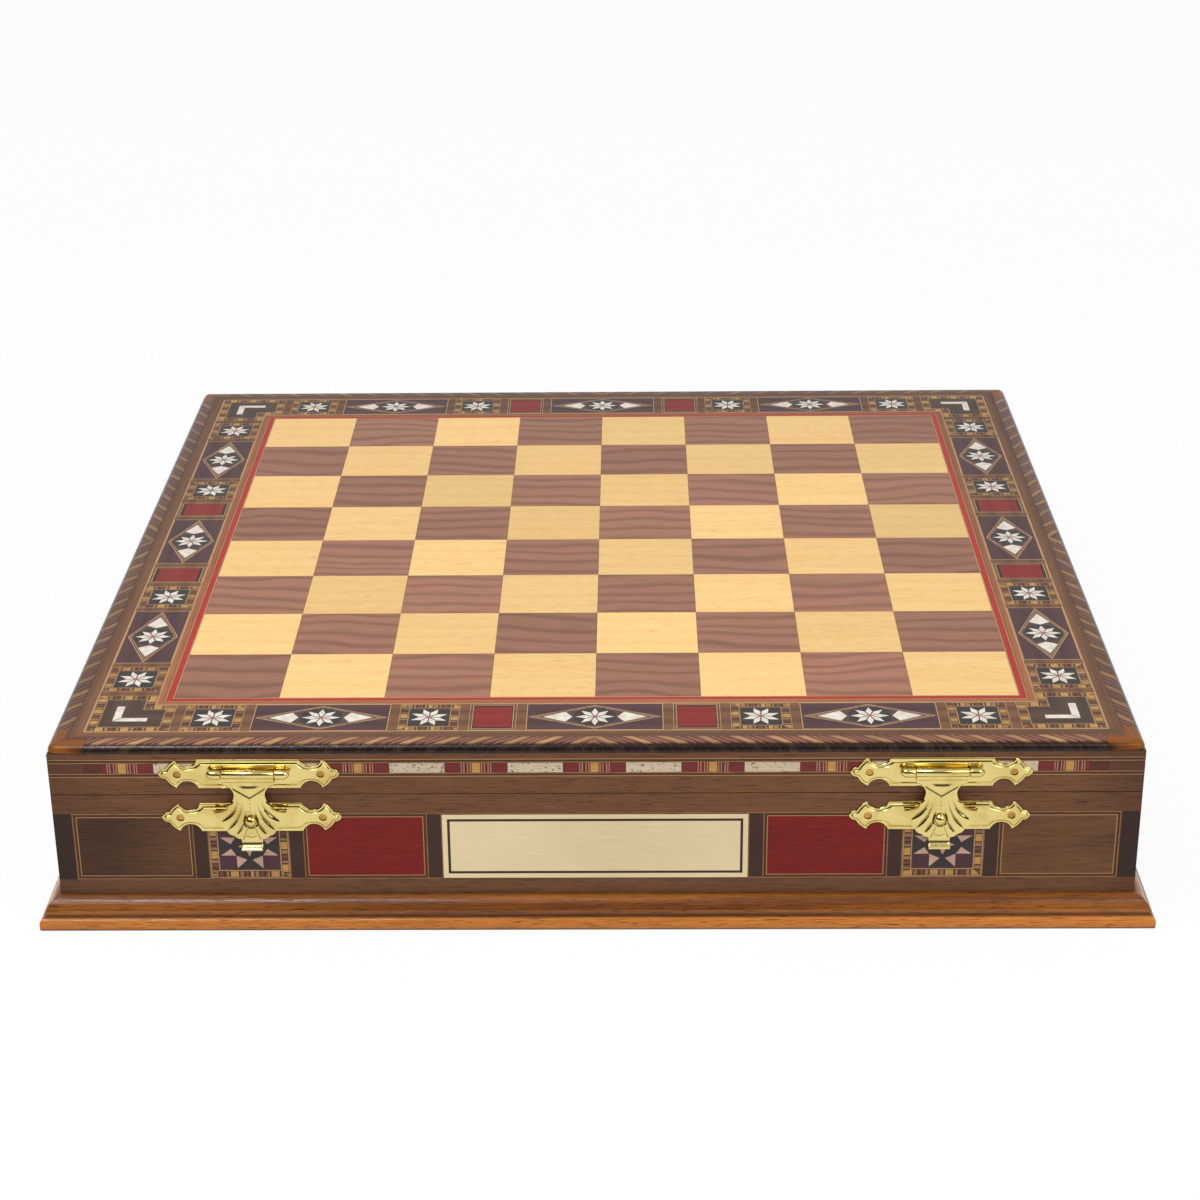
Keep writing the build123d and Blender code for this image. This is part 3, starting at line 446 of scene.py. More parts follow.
def lidWallWood():
    material, tree, shader, position = newMaterial("lidWalnut")
    side = sideWires(tree, position)
    veneer = grainOf(tree, side["Vector"], caseWood)
    reach, height = side["Along"].size(), side["Height"]
    low, high, apart = lidLines["low"], lidLines["high"], lidLines["apart"]
    names = ("wine", "brown", "shadow", "line")
    wine, brown, shadowColour, lineColour = [paint(*lidLines[name]) for name in names]
    atEnd = reach.above(lidLines["start"])
    between = height.above(low) * height.below(high) * atEnd
    filled = mixColours(tree, reach.below(lidLines["wineTo"]), brown, wine)
    colour = mixColours(tree, between * lidLines["filling"], veneer["Colour"], filled)
    fromMiddle = (height - (low + high) / 2).size() - (high - low) / 2
    shadow = (fromMiddle - apart / 2).size().below(apart / 2)
    colour = mixColours(tree, shadow * lidLines["shadowing"], colour, shadowColour)
    onInner = fromMiddle.size().below(lidLines["half"]) * atEnd
    onOuter = (fromMiddle - apart).size().below(lidLines["half"])
    colour = mixColours(tree, onInner.math("MAXIMUM", onOuter) * lidLines["lining"], colour, lineColour)
    finishWood(tree, shader, darkerCorners(tree, side, colour), veneer["Relief"], roughness=0.38)
    return material


dress(lidWallWood(), *["lid_wall_" + side for side in sides])

# playing squares: each has its own piece of veneer
board = {
    "pitch": 40.0,
    "shift": (900.0, 700.0, 300.0),
    "warpScale": 0.022,
    "leastTone": 0.89,
    "toneRange": 0.22,
    "cornerShade": 0.15,
    "darkCorner": -3,
    "walnut": {
        "light": (174, 120, 94),
        "dark": (132, 88, 68),
        "pore": (96, 60, 46),
        "figure": 1.0,
        "waves": 10.0,
        "pores": 0.45,
        "warp": 20.0,
    },
    "maple": {
        "light": (248, 210, 142),
        "dark": (238, 192, 116),
        "pore": (214, 138, 74),
        "figure": 0.4,
        "waves": 3.0,
        "pores": 0.75,
        "warp": 8.0,
    },
}


def squareWood(name, wood):
    material, tree, shader, position = newMaterial(name)
    x, y, z = inMillimetres(tree, position)
    pitch, shift = board["pitch"], board["shift"]
    square = vectorOf(tree, (x / pitch).floor(), (y / pitch).floor(), 0.0)
    first, second, third = partsOf(tree, addNode(tree, "TexWhiteNoise", {"Vector": square}, output=1))
    shifted = vectorOf(tree, x + first * shift[0], y + second * shift[1], z + third * shift[2])
    bend = noise(tree, shifted, board["warpScale"], 1.0)
    warp = vectorOf(tree, 0.0, bend * wood["warp"], 0.0)
    warped = addNode(tree, "VectorMath", {0: shifted, 1: warp}, operation="ADD")
    veneer = grainOf(tree, warped, wood)
    edge = pitch * board["darkCorner"]
    inCorner = x.below(edge) * y.below(edge)
    value = third * board["toneRange"] + board["leastTone"] - inCorner * board["cornerShade"]
    finishWood(tree, shader, toned(tree, veneer["Colour"], value), veneer["Relief"], specular=0.3)
    return material


dress(squareWood("boardWalnut", board["walnut"]), "dark_squares")
dress(squareWood("boardMaple", board["maple"]), "light_squares")

borderWood = {
    "light": (136, 92, 62),
    "dark": (92, 60, 40),
    "pore": (70, 44, 30),
    "figure": 0.8,
    "waves": 4.0,
    "pores": 0.5,
}
innerStrip = dict(borderWood, light=(186, 118, 74), dark=(138, 84, 52), pore=(92, 56, 38))
innerReach = 166.0
behind = {"start": -0.15, "end": 0.19, "tone": 0.8}


def borderVeneer():
    material, tree, shader, position = newMaterial("borderWalnut")
    side = sideWires(tree, position)
    outer = grainOf(tree, side["Vector"], borderWood)
    inner = grainOf(tree, side["Vector"], innerStrip)
    colour = mixColours(tree, side["Across"].below(innerReach), outer["Colour"], inner["Colour"])
    y = partsOf(tree, position)[1]
    value = fade(tree, y, behind["start"], behind["end"], 1.0, behind["tone"])
    finishWood(tree, shader, toned(tree, colour, value), outer["Relief"])
    return material


dress(borderVeneer(), "border_walnut")

cornerVeneer = {
    "light": (92, 70, 54),
    "dark": (66, 49, 39),
    "pore": (46, 34, 29),
    "figure": 0.7,
    "waves": 3.0,
    "pores": 0.6,
}
dress(sideWood("cornerVeneer", cornerVeneer), "corner_grounds")

stringWood = {
    "light": (214, 172, 124),
    "dark": (172, 128, 88),
    "pore": (120, 84, 56),
    "figure": 0.6,
    "waves": 2.0,
    "pores": 0.4,
}
dress(sideWood("lightString", stringWood), "board_strings")
wallString = dict(stringWood, light=(166, 122, 78), dark=(112, 76, 50), pore=(76, 48, 34), pores=0.8)
dress(sideWood("wallString", wallString), "wall_strings", "lid_banding_strings")


# a second light line inside the edge of a wall panel, with brown between the two
def withInnerLine(tree, side, colour, start, end):
    along = side["Along"].size()
    fromEnds = (along - start).math("MINIMUM", along * -1 + end)
    fromSides = (side["Height"] - panelEdge["low"]).math("MINIMUM", side["Height"] * -1 + panelEdge["high"])
    depth = fromEnds.math("MINIMUM", fromSides)
    lined = mixColours(tree, depth.below(panelEdge["lineTo"]), colour, paint(*wallString["light"]))
    return mixColours(tree, depth.below(panelEdge["brownTo"]), lined, paint(*caseWood["dark"]))


rosewoodWood = {
    "light": (88, 55, 55),
    "dark": (64, 38, 42),
    "pore": (44, 28, 32),
    "figure": 0.7,
    "waves": 3.0,
    "pores": 0.4,
}
insideWood = dict(rosewoodWood, light=(98, 70, 60), dark=(74, 52, 46))
# the second line inside a lozenge counts its distance inwards from the lozenge's own line
lozenge = {
    "halfLength": 24.9,
    "halfWidth": 10.05,
    "blockHalfLength": 25.6,
    "blockHalfWidth": 11.35,
    "secondFrom": 0.95,
    "secondTo": 1.3,
    "secondShare": 0.8,
    "line": (192, 152, 106),
    "edgeWidth": 0.4,
}


def longBlockWood():
    material, tree, shader, position = newMaterial("longBlockWood")
    side = sideWires(tree, position)
    star = useGroup(tree, starFrame, {"Position": position})
    x, y = star["X"].size(), star["Y"].size()
    length, width = lozenge["halfLength"], lozenge["halfWidth"]
    slope = length * width / hypot(length, width)
    beyond = (x / length + y / width - 1) * slope
    outer = grainOf(tree, side["Vector"], rosewoodWood)
    inner = grainOf(tree, side["Vector"], insideWood)
    colour = mixColours(tree, beyond.below(0.0), outer["Colour"], inner["Colour"])
    line = paint(*lozenge["line"])
    secondLine = beyond.below(-lozenge["secondFrom"]) * beyond.above(-lozenge["secondTo"])
    colour = mixColours(tree, secondLine * lozenge["secondShare"], colour, line)
    fromSide = y * -1 + lozenge["blockHalfWidth"]
    fromEnd = x * -1 + lozenge["blockHalfLength"]
    onEdge = fromSide.math("MINIMUM", fromEnd).below(lozenge["edgeWidth"])
    colour = mixColours(tree, onEdge, colour, line)
    finishWood(tree, shader, colour, outer["Relief"], specular=0.3)
    return material


dress(longBlockWood(), "diamond_grounds")

redWood = {
    "light": (150, 44, 36),
    "dark": (120, 30, 28),
    "pore": (96, 22, 24),
    "figure": 0.6,
    "waves": 3.0,
    "pores": 0.5,
}
dress(sideWood("redVeneer", redWood), "red_blocks")
lineRed = dict(redWood, light=(196, 58, 40), dark=(166, 42, 32))
dress(sideWood("redLineVeneer", lineRed), "red_line")

panelRed = {
    "light": (132, 24, 16),
    "dark": (92, 14, 11),
    "pore": (56, 8, 8),
    "figure": 1.0,
    "waves": 6.0,
    "pores": 0.7,
}
redPanelEnds = (62.25, 108.55)


def redPanelWood():
    material, tree, shader, position = newMaterial("redPanel")
    side = sideWires(tree, position)
    veneer = grainOf(tree, side["Vector"], panelRed)
    colour = withInnerLine(tree, side, veneer["Colour"], *redPanelEnds)
    finishWood(tree, shader, colour, veneer["Relief"], roughness=0.36)
    return material


dress(redPanelWood(), "red_panels")

figuredWood = {
    "light": (112, 72, 42),
    "dark": (48, 32, 23),
    "pore": (36, 24, 18),
    "figure": 1.0,
    "waves": 14.0,
    "pores": 0.6,
}
endPanelEnds = (149.25, 193.95)
# the left end panel darkens to its end, the right one is lighter: tones at the near end and the far end
panelTone = {"start": 156.0, "end": 180.0, "left": (0.98, 0.5), "right": (1.16, 1.25)}


def endPanelWood():
    material, tree, shader, position = newMaterial("figuredWalnut")
    side = sideWires(tree, position)
    veneer = grainOf(tree, side["Vector"], figuredWood)
    reach = fade(tree, side["Along"].size(), panelTone["start"], panelTone["end"])
    left, right = [reach * (far - near) + near for near, far in (panelTone["left"], panelTone["right"])]
    shade = toned(tree, veneer["Colour"], choose(side["Round"].above(0.0), left, right))
    colour = withInnerLine(tree, side, shade, *endPanelEnds)
    finishWood(tree, shader, colour, veneer["Relief"], roughness=0.36)
    return material


dress(endPanelWood(), "end_panels", "centre_panels")

stileWood = {
    "light": (70, 44, 33),
    "dark": (54, 33, 25),
    "pore": (34, 23, 19),
    "figure": 0.6,
    "waves": 3.0,
    "pores": 0.5,
}
dress(sideWood("stileWood", stileWood, roughness=0.38), "wall_stiles")

ebonyWood = {
    "light": (60, 52, 47),
    "dark": (40, 35, 33),
    "pore": (26, 23, 22),
    "figure": 0.6,
    "waves": 2.0,
    "pores": 0.4,
}
dress(sideWood("ebony", ebonyWood, roughness=0.36, specular=0.3), "star_grounds", "wall_star_grounds")

wineWood = {
    "light": (82, 46, 52),
    "dark": (66, 36, 42),
    "pore": (46, 26, 32),
    "figure": 0.6,
    "waves": 2.0,
    "pores": 0.4,
}
dress(sideWood("wineVeneer", wineWood, roughness=0.38, specular=0.3), "wall_star_corners")

roseWood = {
    "light": (208, 172, 150),
    "dark": (182, 142, 122),
    "pore": (146, 108, 92),
    "figure": 0.6,
    "waves": 2.0,
    "pores": 0.4,
}
dress(sideWood("roseVeneer", roseWood, roughness=0.38, specular=0.3), "wall_star_rays")

# banding of small blocks: where each colour starts, as a share of one repeat
banding = {
    "repeat": 9.6,
    "yellow": (206, 156, 82),
    "tan": (168, 124, 76),
    "brown": (112, 72, 48),
    "red": (146, 62, 44),
    "dark": (52, 38, 32),
    "string": (196, 156, 108),
    "lineWidth": 0.4,
    "shadowTo": 0.6,
    "shadowing": 0.8,
}
tint = {name: paint(*value) for name, value in banding.items() if isinstance(value, tuple)}
blockStops = [
    (0.0, tint["yellow"]),
    (0.32, tint["dark"]),
    (0.38, tint["tan"]),
    (0.47, tint["brown"]),
    (0.54, tint["dark"]),
    (0.60, tint["brown"]),
    (0.67, tint["red"]),
    (0.74, tint["dark"]),
    (0.80, tint["tan"]),
    (0.94, tint["dark"]),
]
tickStops = [
    (0.0, tint["tan"]),
    (0.18, tint["dark"]),
    (0.24, tint["tan"]),
    (0.31, tint["dark"]),
    (0.37, tint["brown"]),
    (0.45, tint["red"]),
    (0.52, tint["brown"]),
    (0.60, tint["dark"]),
    (0.66, tint["tan"]),
    (0.74, tint["dark"]),
    (0.80, tint["yellow"]),
    (0.96, tint["brown"]),
]
plainGrain = {
    "light": (255, 255, 255),
    "dark": (190, 182, 176),
    "pore": (140, 126, 116),
    "figure": 0.6,
    "waves": 2.0,
    "pores": 0.5,
}


# a pattern of woods, with one faint grain over all of it
def overGrain(tree, vector, colour):
    veneer = grainOf(tree, vector, plainGrain)
    made = tree.nodes.new("ShaderNodeMix")
    made.data_type = "RGBA"
    made.blend_type = "MULTIPLY"
    made.inputs[0].default_value = 1.0
    plug(made.inputs[6], colour)
    plug(made.inputs[7], veneer["Colour"])
    return Wire(tree, made.outputs[2]), veneer["Relief"]


def patternedWood(tree, shader, vector, colour, **finish):
    shade, relief = overGrain(tree, vector, colour)
    finishWood(tree, shader, shade, relief, specular=0.3, **finish)


# one strip of banding: blocks between two light lines, depth counted across the strip
def stripColours(tree, place, chance, depth, width, stops):
    share = (place / banding["repeat"] + chance).part()
    blocks = bands(tree, share, stops)
    edge = depth.math("MINIMUM", depth * -1 + width)
    lined = mixColours(tree, edge.below(banding["lineWidth"]), blocks, tint["string"])
    shadow = edge.above(banding["lineWidth"]) * edge.below(banding["shadowTo"])
    return mixColours(tree, shadow * banding["shadowing"], lined, tint["dark"])


# how far the pattern is moved on in each strip, so that no two strips of a frame start alike
starFrameSizes = {
    "inner": 7.6,
    "width": 3.75,
    "mitre": 0.14,
    "mitring": 0.8,
    "endShift": 0.37,
    "wayShift": 0.21,
}


def starFrameWood():
    material, tree, shader, position = newMaterial("starFrameWood")
    star = useGroup(tree, starFrame, {"Position": position})
    x, y = star["X"], star["Y"]
    onEnds = x.size().above(y.size())
    depth = x.size().math("MAXIMUM", y.size()) - starFrameSizes["inner"]
    chance = star["Chance"] + onEnds * starFrameSizes["endShift"]
    chance = chance + choose(onEnds, y, x).above(0.0) * starFrameSizes["wayShift"]
    width = starFrameSizes["width"]
    ends = stripColours(tree, y, chance, depth, width, blockStops)
    rows = stripColours(tree, x, chance, depth, width, tickStops)
    colour = mixColours(tree, onEnds, rows, ends)
    mitre = (x.size() - y.size()).size().below(starFrameSizes["mitre"])
    colour = mixColours(tree, mitre * starFrameSizes["mitring"], colour, tint["dark"])
    patternedWood(tree, shader, sideWires(tree, position)["Vector"], colour)
    return material


dress(starFrameWood(), "star_frames")

cornerSizes = {
    "start": 157.6,
    "outer": 188.8,
    "notch": 166.1,
    "width": 4.0,
    "startShift": 0.4,
    "wayShift": 0.3,
}


def cornerFrameWood():
    material, tree, shader, position = newMaterial("cornerFrameWood")
    x, y = [wire.size() for wire in inMillimetres(tree, position)[:2]]
    far = x.math("MAXIMUM", y)
    near = x.math("MINIMUM", y)
    fromOuter = far * -1 + cornerSizes["outer"]
    fromStart = near - cornerSizes["start"]
    fromNotch = (far - cornerSizes["notch"]).size()
    depth = fromOuter.math("MINIMUM", fromStart).math("MINIMUM", fromNotch)
    atStart = fromStart.below(fromOuter) * fromStart.below(cornerSizes["width"])
    place = choose(atStart, near, far)
    chance = atStart * cornerSizes["startShift"] + x.above(y) * cornerSizes["wayShift"]
    colour = stripColours(tree, place, chance, depth, cornerSizes["width"], blockStops)
    patternedWood(tree, shader, sideWires(tree, position)["Vector"], colour)
    return material


dress(cornerFrameWood(), "corner_frames")

wallStar = {
    "middle": 128.9,
    "height": 32.15,
    "halfLength": 11.4,
    "halfHeight": 9.95,
    "width": 3.4,
    "boxShift": 0.33,
    "wayShift": 0.41,
    "shift": 0.12,
}


def wallStarFrameWood():
    material, tree, shader, position = newMaterial("wallStarFrameWood")
    side = sideWires(tree, position)
    x = side["Along"].size() - wallStar["middle"]
    y = side["Height"] - wallStar["height"]
    beyondX = x.size() - wallStar["halfLength"]
    beyondY = y.size() - wallStar["halfHeight"]
    onEnds = beyondX.above(beyondY)
    depth = beyondX.math("MAXIMUM", beyondY)
    chance = side["Along"].above(0.0) * wallStar["boxShift"] + x.above(0.0) * wallStar["wayShift"]
    place = choose(onEnds, x, y)
    colour = stripColours(tree, place, chance + wallStar["shift"], depth, wallStar["width"], blockStops)
    patternedWood(tree, shader, side["Vector"], colour, roughness=0.38)
    return material


dress(wallStarFrameWood(), "wall_star_frames")

redFrame = {"middle": 38.05, "halfLength": 8.95, "halfWidth": 11.35, "width": 3.0}
redFrameStops = [(0.0, tint["string"]), (0.14, tint["brown"]), (0.38, tint["string"]), (0.52, tint["dark"])]


def redFrameWood():
    material, tree, shader, position = newMaterial("redFrameWood")
    side = sideWires(tree, position)
    fromEnd = (side["Along"].size() - redFrame["middle"]).size() * -1 + redFrame["halfLength"]
    fromSide = (side["Across"] - border["bandMiddle"]).size() * -1 + redFrame["halfWidth"]
    depth = fromEnd.math("MINIMUM", fromSide) / redFrame["width"]
    patternedWood(tree, shader, side["Vector"], bands(tree, depth, redFrameStops))
    return material


dress(redFrameWood(), "red_block_frames")

# lid banding: cream and red blocks, and a striped stretch with a yellow block in its middle
lidBanding = {
    "halfRepeat": 21.7,
    "creamFrom": 0.54,
    "speckStretch": (0.9, 1.4, 1.4),
    "speckFrom": 0.66,
    "specking": 0.85,
    "cream": (224, 206, 176),
    "speck": (96, 74, 54),
    "wine": (122, 38, 38),
    "pink": (186, 128, 96),
}


def lidBandingWood():
    material, tree, shader, position = newMaterial("lidBandingWood")
    side = sideWires(tree, position)
    share = side["Along"].math("PINGPONG", lidBanding["halfRepeat"]) / lidBanding["halfRepeat"]
    wine, cream, pink, speck = [paint(*lidBanding[name]) for name in ("wine", "cream", "pink", "speck")]
    stops = [
        (0.0, tint["yellow"]),
        (0.065, tint["brown"]),
        (0.085, pink),
        (0.105, wine),
        (0.13, pink),
        (0.15, tint["dark"]),
        (0.17, wine),
        (0.195, pink),
        (0.215, tint["dark"]),
        (0.235, pink),
        (0.255, wine),
        (0.535, cream),
    ]
    specks = noise(tree, stretched(tree, side["Vector"], lidBanding["speckStretch"]), 1.0, 1.0)
    specked = specks.above(lidBanding["speckFrom"]) * share.above(lidBanding["creamFrom"])
    colour = mixColours(tree, specked * lidBanding["specking"], bands(tree, share, stops), speck)
    patternedWood(tree, shader, side["Vector"], colour, roughness=0.38)
    return material


dress(lidBandingWood(), "lid_banding")

# rope edging: slanted layers, nearly black where the edge rounds over
rope = {
    "repeat": 12.6,
    "slant": 1.3,
    "wobbleScale": 0.08,
    "wobble": 0.3,
    "leastTone": 0.75,
    "toneRange": 0.4,
    "behindTone": 0.62,
    "yellow": (196, 148, 92),
    "cream": (200, 164, 120),
    "brown": (124, 76, 50),
    "red": (158, 76, 56),
    "dark": (58, 38, 31),
    "burnt": (26, 17, 13),
    "burntFrom": 73.95,
    "burntTo": 73.5,
    "scorchScale": 0.5,
    "scorchMost": 1.1,
    "scorchRange": -0.3,
    "mostBurnt": 0.98,
}


def ropeWood():
    material, tree, shader, position = newMaterial("ropeWood")
    side = sideWires(tree, position)
    place = (side["Along"].size() - side["Across"] * rope["slant"]) / rope["repeat"]
    place = place + noise(tree, side["Vector"], rope["wobbleScale"], 0.0) * rope["wobble"]
    layer = vectorOf(tree, place.floor(), side["Side"], 0.0)
    chance = addNode(tree, "TexWhiteNoise", {"Vector": layer})
    names = ("yellow", "cream", "brown", "red", "dark")
    yellow, cream, brown, red, dark = [paint(*rope[name]) for name in names]
    stops = [
        (0.0, yellow),
        (0.3, dark),
        (0.34, brown),
        (0.41, red),
        (0.49, cream),
        (0.52, dark),
        (0.58, brown),
        (0.66, red),
        (0.74, cream),
        (0.77, dark),
        (0.82, brown),
        (0.9, red),
        (0.96, dark),
    ]
    colour = toned(tree, bands(tree, place.part(), stops), chance * rope["toneRange"] + rope["leastTone"])
    offFront = side["Side"].above(0.5)
    colour = toned(tree, colour, offFront * (rope["behindTone"] - 1) + 1)
    shade, relief = overGrain(tree, side["Vector"], colour)
    down = side["Height"] * -1 + rope["burntFrom"]
    burnt = (down / (rope["burntFrom"] - rope["burntTo"])).math("MAXIMUM", 0.0).math("MINIMUM", 1.0)
    char = noise(tree, side["Vector"], rope["scorchScale"], 4.0, 0.7)
    scorched = char * rope["scorchRange"] + rope["scorchMost"]
    burnt = burnt * scorched.math("MINIMUM", rope["mostBurnt"])
    shade = mixColours(tree, burnt, shade, paint(*rope["burnt"]))
    finishWood(tree, shader, shade, relief, roughness=0.17, specular=0.3, bump=0.14)
    return material


dress(ropeWood(), "edge_strips")

honeyWood = {
    "light": (150, 86, 24),
    "dark": (82, 45, 13),
    "pore": (42, 24, 9),
    "figure": 1.0,
    "waves": 4.0,
    "pores": 0.5,
}
# the dark of the rounded edge runs a little way into the corner pieces and along their foot
honeyStain = {
    "from": 187.0,
    "to": 196.0,
    "ragged": 6.0,
    "raggedScale": 0.4,
    "top": 73.7,
    "low": 73.2,
    "foot": 71.6,
    "footSoft": 0.6,
    "footShare": 0.8,
    "share": 0.9,
}


def honeyCorner():
    material, tree, shader, position = newMaterial("honeyWood")
    side = sideWires(tree, position)
    veneer = grainOf(tree, side["Vector"], honeyWood)
    uneven = noise(tree, side["Vector"], honeyStain["raggedScale"], 3.0) - 0.5
    place = side["Along"].size() + uneven * honeyStain["ragged"]
    run = fade(tree, place, honeyStain["from"], honeyStain["to"], 1.0, 0.0)
    down = fade(tree, side["Height"], honeyStain["top"], honeyStain["low"])
    low = honeyStain["foot"]
    foot = fade(tree, side["Height"] + uneven, low, low - honeyStain["footSoft"])
    darkening = (run * down).math("MAXIMUM", foot * honeyStain["footShare"]) * honeyStain["share"]
    colour = mixColours(tree, darkening, veneer["Colour"], paint(*rope["burnt"]))
    finishWood(tree, shader, colour, veneer["Relief"], roughness=0.2, specular=0.2, bump=0.08)
    return material


honeyVarnish = honeyCorner()
dress(honeyVarnish, "edge_corners")

plinthWood = {
    "light": (192, 118, 46),
    "dark": (110, 60, 22),
    "pore": (44, 23, 11),
    "figure": 1.0,
    "waves": 5.0,
    "pores": 0.95,
}
# painted shade in the moulding's grooves, along its foot and where it meets the wall: heights from the foot
# up, with how dark it is there
plinthPaintedShade = [
    (0.0, 1.0),
    (0.07, 0.9),
    (0.11, 0.1),
    (0.3, 0.0),
    (0.4, 0.1),
    (0.43, 0.5),
    (0.46, 0.85),
    (0.52, 0.5),
    (0.56, 0.1),
    (0.635, 0.05),
    (0.66, 0.7),
    (0.685, 0.05),
    (0.92, 0.0),
    (0.98, 0.2),
    (1.0, 0.6),
]
# the moulding's height, the strength and colour of its painted shade, and the painted light on its low bead
plinthLook = {
    "height": 12.0,
    "paintedShading": 0.85,
    "darkening": (44, 22, 12),
    "beadTop": 5.0,
    "beadPaintedLight": 1.4,
    "tone": 0.98,
}


def plinthVarnish():
    material, tree, shader, position = newMaterial("plinthWalnut")
    side = sideWires(tree, position)
    veneer = grainOf(tree, side["Vector"], plinthWood)
    # painted shade by height, darkest in the grooves, at the foot and at the top against the wall
    stops = [(place, (level, level, level, 1.0)) for place, level in plinthPaintedShade]
    darkening = bands(tree, side["Height"] / plinthLook["height"], stops, smooth=True) * plinthLook["paintedShading"]
    # painted light: the bead below beadTop is made lighter than the rest of the moulding
    onBead = side["Height"].below(plinthLook["beadTop"])
    tone = onBead * (plinthLook["beadPaintedLight"] - plinthLook["tone"]) + plinthLook["tone"]
    lit = toned(tree, veneer["Colour"], tone)
    colour = mixColours(tree, darkening, lit, paint(*plinthLook["darkening"]))
    finishWood(tree, shader, colour, veneer["Relief"], roughness=0.17, specular=0.32, bump=0.14)
    return material


dress(plinthVarnish(), *["plinth_" + side for side in sides])

plyWood = {
    "light": (206, 176, 132),
    "dark": (182, 148, 104),
    "pore": (150, 116, 78),
    "figure": 0.8,
    "waves": 3.0,
    "pores": 0.4,
}
dress(sideWood("plywood", plyWood, roughness=0.55), "bottom_panel", "lid_core")

# brass: smudged, finely spotted, and darkened where a piece's attribute says so: patina in its grooves, and
# painted shade in its grooves, creases and nail holes
brassLook = {
    "smudgeScale": 90.0,
    "spotScale": 420.0,
    "wornFrom": 0.45,
    "wornTo": 0.8,
    "smudgeRough": 0.12,
    "smoother": 0.06,
    "spotRough": 0.05,
    "darkRough": 0.3,
    "patinaAndShade": (58, 38, 14),
}


def brassMaterial(name, colour, tarnish, roughness):
    material, tree, shader, position = newMaterial(name)
    smudges = noise(tree, position, brassLook["smudgeScale"], 4.0, 0.6)
    spots = noise(tree, position, brassLook["spotScale"])
    stops = [(brassLook["wornFrom"], paint(*colour)), (brassLook["wornTo"], paint(*tarnish))]
    worn = bands(tree, smudges, stops, smooth=True)
    # the attribute holds patina and painted shade together
    recess = addNode(tree, "Attribute", output=2, attribute_name="PatinaAndShade")
    dark = recess.math("MINIMUM", 1.0)
    plug(shader.inputs["Base Color"], mixColours(tree, dark, worn, paint(*brassLook["patinaAndShade"])))
    shader.inputs["Metallic"].default_value = 1.0
    rough = smudges * brassLook["smudgeRough"] + (roughness - brassLook["smoother"])
    rough = rough + spots * brassLook["spotRough"] + dark * brassLook["darkRough"]
    plug(shader.inputs["Roughness"], rough)
    return material


polishedBrass = brassMaterial("polishedBrass", (226, 206, 132), (200, 166, 90), 0.12)
nailBrass = brassMaterial("nailBrass", (206, 158, 78), (120, 82, 40), 0.3)
hingeBrass = brassMaterial("hingeBrass", (212, 178, 106), (160, 122, 66), 0.26)
screwBrass = brassMaterial("screwBrass", (196, 158, 92), (140, 104, 58), 0.3)
dress(polishedBrass, "clasp_plates", "catch_plates", "hasp_left", "hasp_right", "hasp_pins")
dress(nailBrass, "clasp_nails", "catch_nails")
dress(hingeBrass, "hinge_leaves_box", "hinge_leaves_lid", "hinge_pins")
dress(screwBrass, "hinge_screws_box", "hinge_screws_lid")

# name plate: fine brushing along its length, a little cloudy
plateLook = {
    "brushStretch": (60.0, 60.0, 5200.0),
    "cloudScale": 16.0,
    "brushed": 0.7,
    "cloudy": 0.5,
    "less": 0.1,
    "bright": (238, 220, 180),
    "dull": (208, 186, 142),
}


def namePlateBrass():
    material, tree, shader, position = newMaterial("brushedBrass")
    lines = noise(tree, stretched(tree, position, plateLook["brushStretch"]), 1.0, 3.0, 0.7)
    clouds = noise(tree, position, plateLook["cloudScale"], 3.0)
    share = lines * plateLook["brushed"] + clouds * plateLook["cloudy"] - plateLook["less"]
    stops = [(0.25, paint(*plateLook["bright"])), (0.8, paint(*plateLook["dull"]))]
    plug(shader.inputs["Base Color"], bands(tree, share, stops, smooth=True))
    shader.inputs["Metallic"].default_value = 1.0
    plug(shader.inputs["Roughness"], lines * 0.2 + 0.24)
    raised = addNode(tree, "Bump", {"Height": lines, "Strength": 0.05, "Distance": 0.2 * millimetre})
    plug(shader.inputs["Normal"], raised)
    return material


dress(namePlateBrass(), "name_plate")

# mother-of-pearl: petals with dark seams, a red dot in each star, a seam in each corner's mitre
pearl = {
    "shell": (238, 231, 216),
    "shade": (208, 196, 180),
    "seam": (60, 48, 42),
    "dot": (190, 60, 46),
    "dotRadius": 0.8,
    "turn": 20.0,
    "petalStep": 45.0,
    "seamHalf": 0.25,
    "cloudScale": 0.35,
    "cloudFrom": 0.35,
    "cloudTo": 0.7,
}


# seams between the petals and the dot in the middle; the stars of the square blocks are turned
def petalSeams(star):
    x, y, middle = star["X"], star["Y"], star["Middle"]
    onSquare = (middle - border["starMiddles"][1]).size().above(1.0) * middle.above(1.0)
    angle = y.math("ARCTAN2", x) / radians(1) - onSquare * pearl["turn"]
    radius = (x * x + y * y).math("SQRT")
    # the half puts the seams between the petals, the 8 keeps the angle above zero
    toValley = (angle / pearl["petalStep"] + 8.5).math("PINGPONG", 0.5)
    seam = (toValley * radius * radians(pearl["petalStep"])).below(pearl["seamHalf"])
    return seam, radius.below(pearl["dotRadius"])


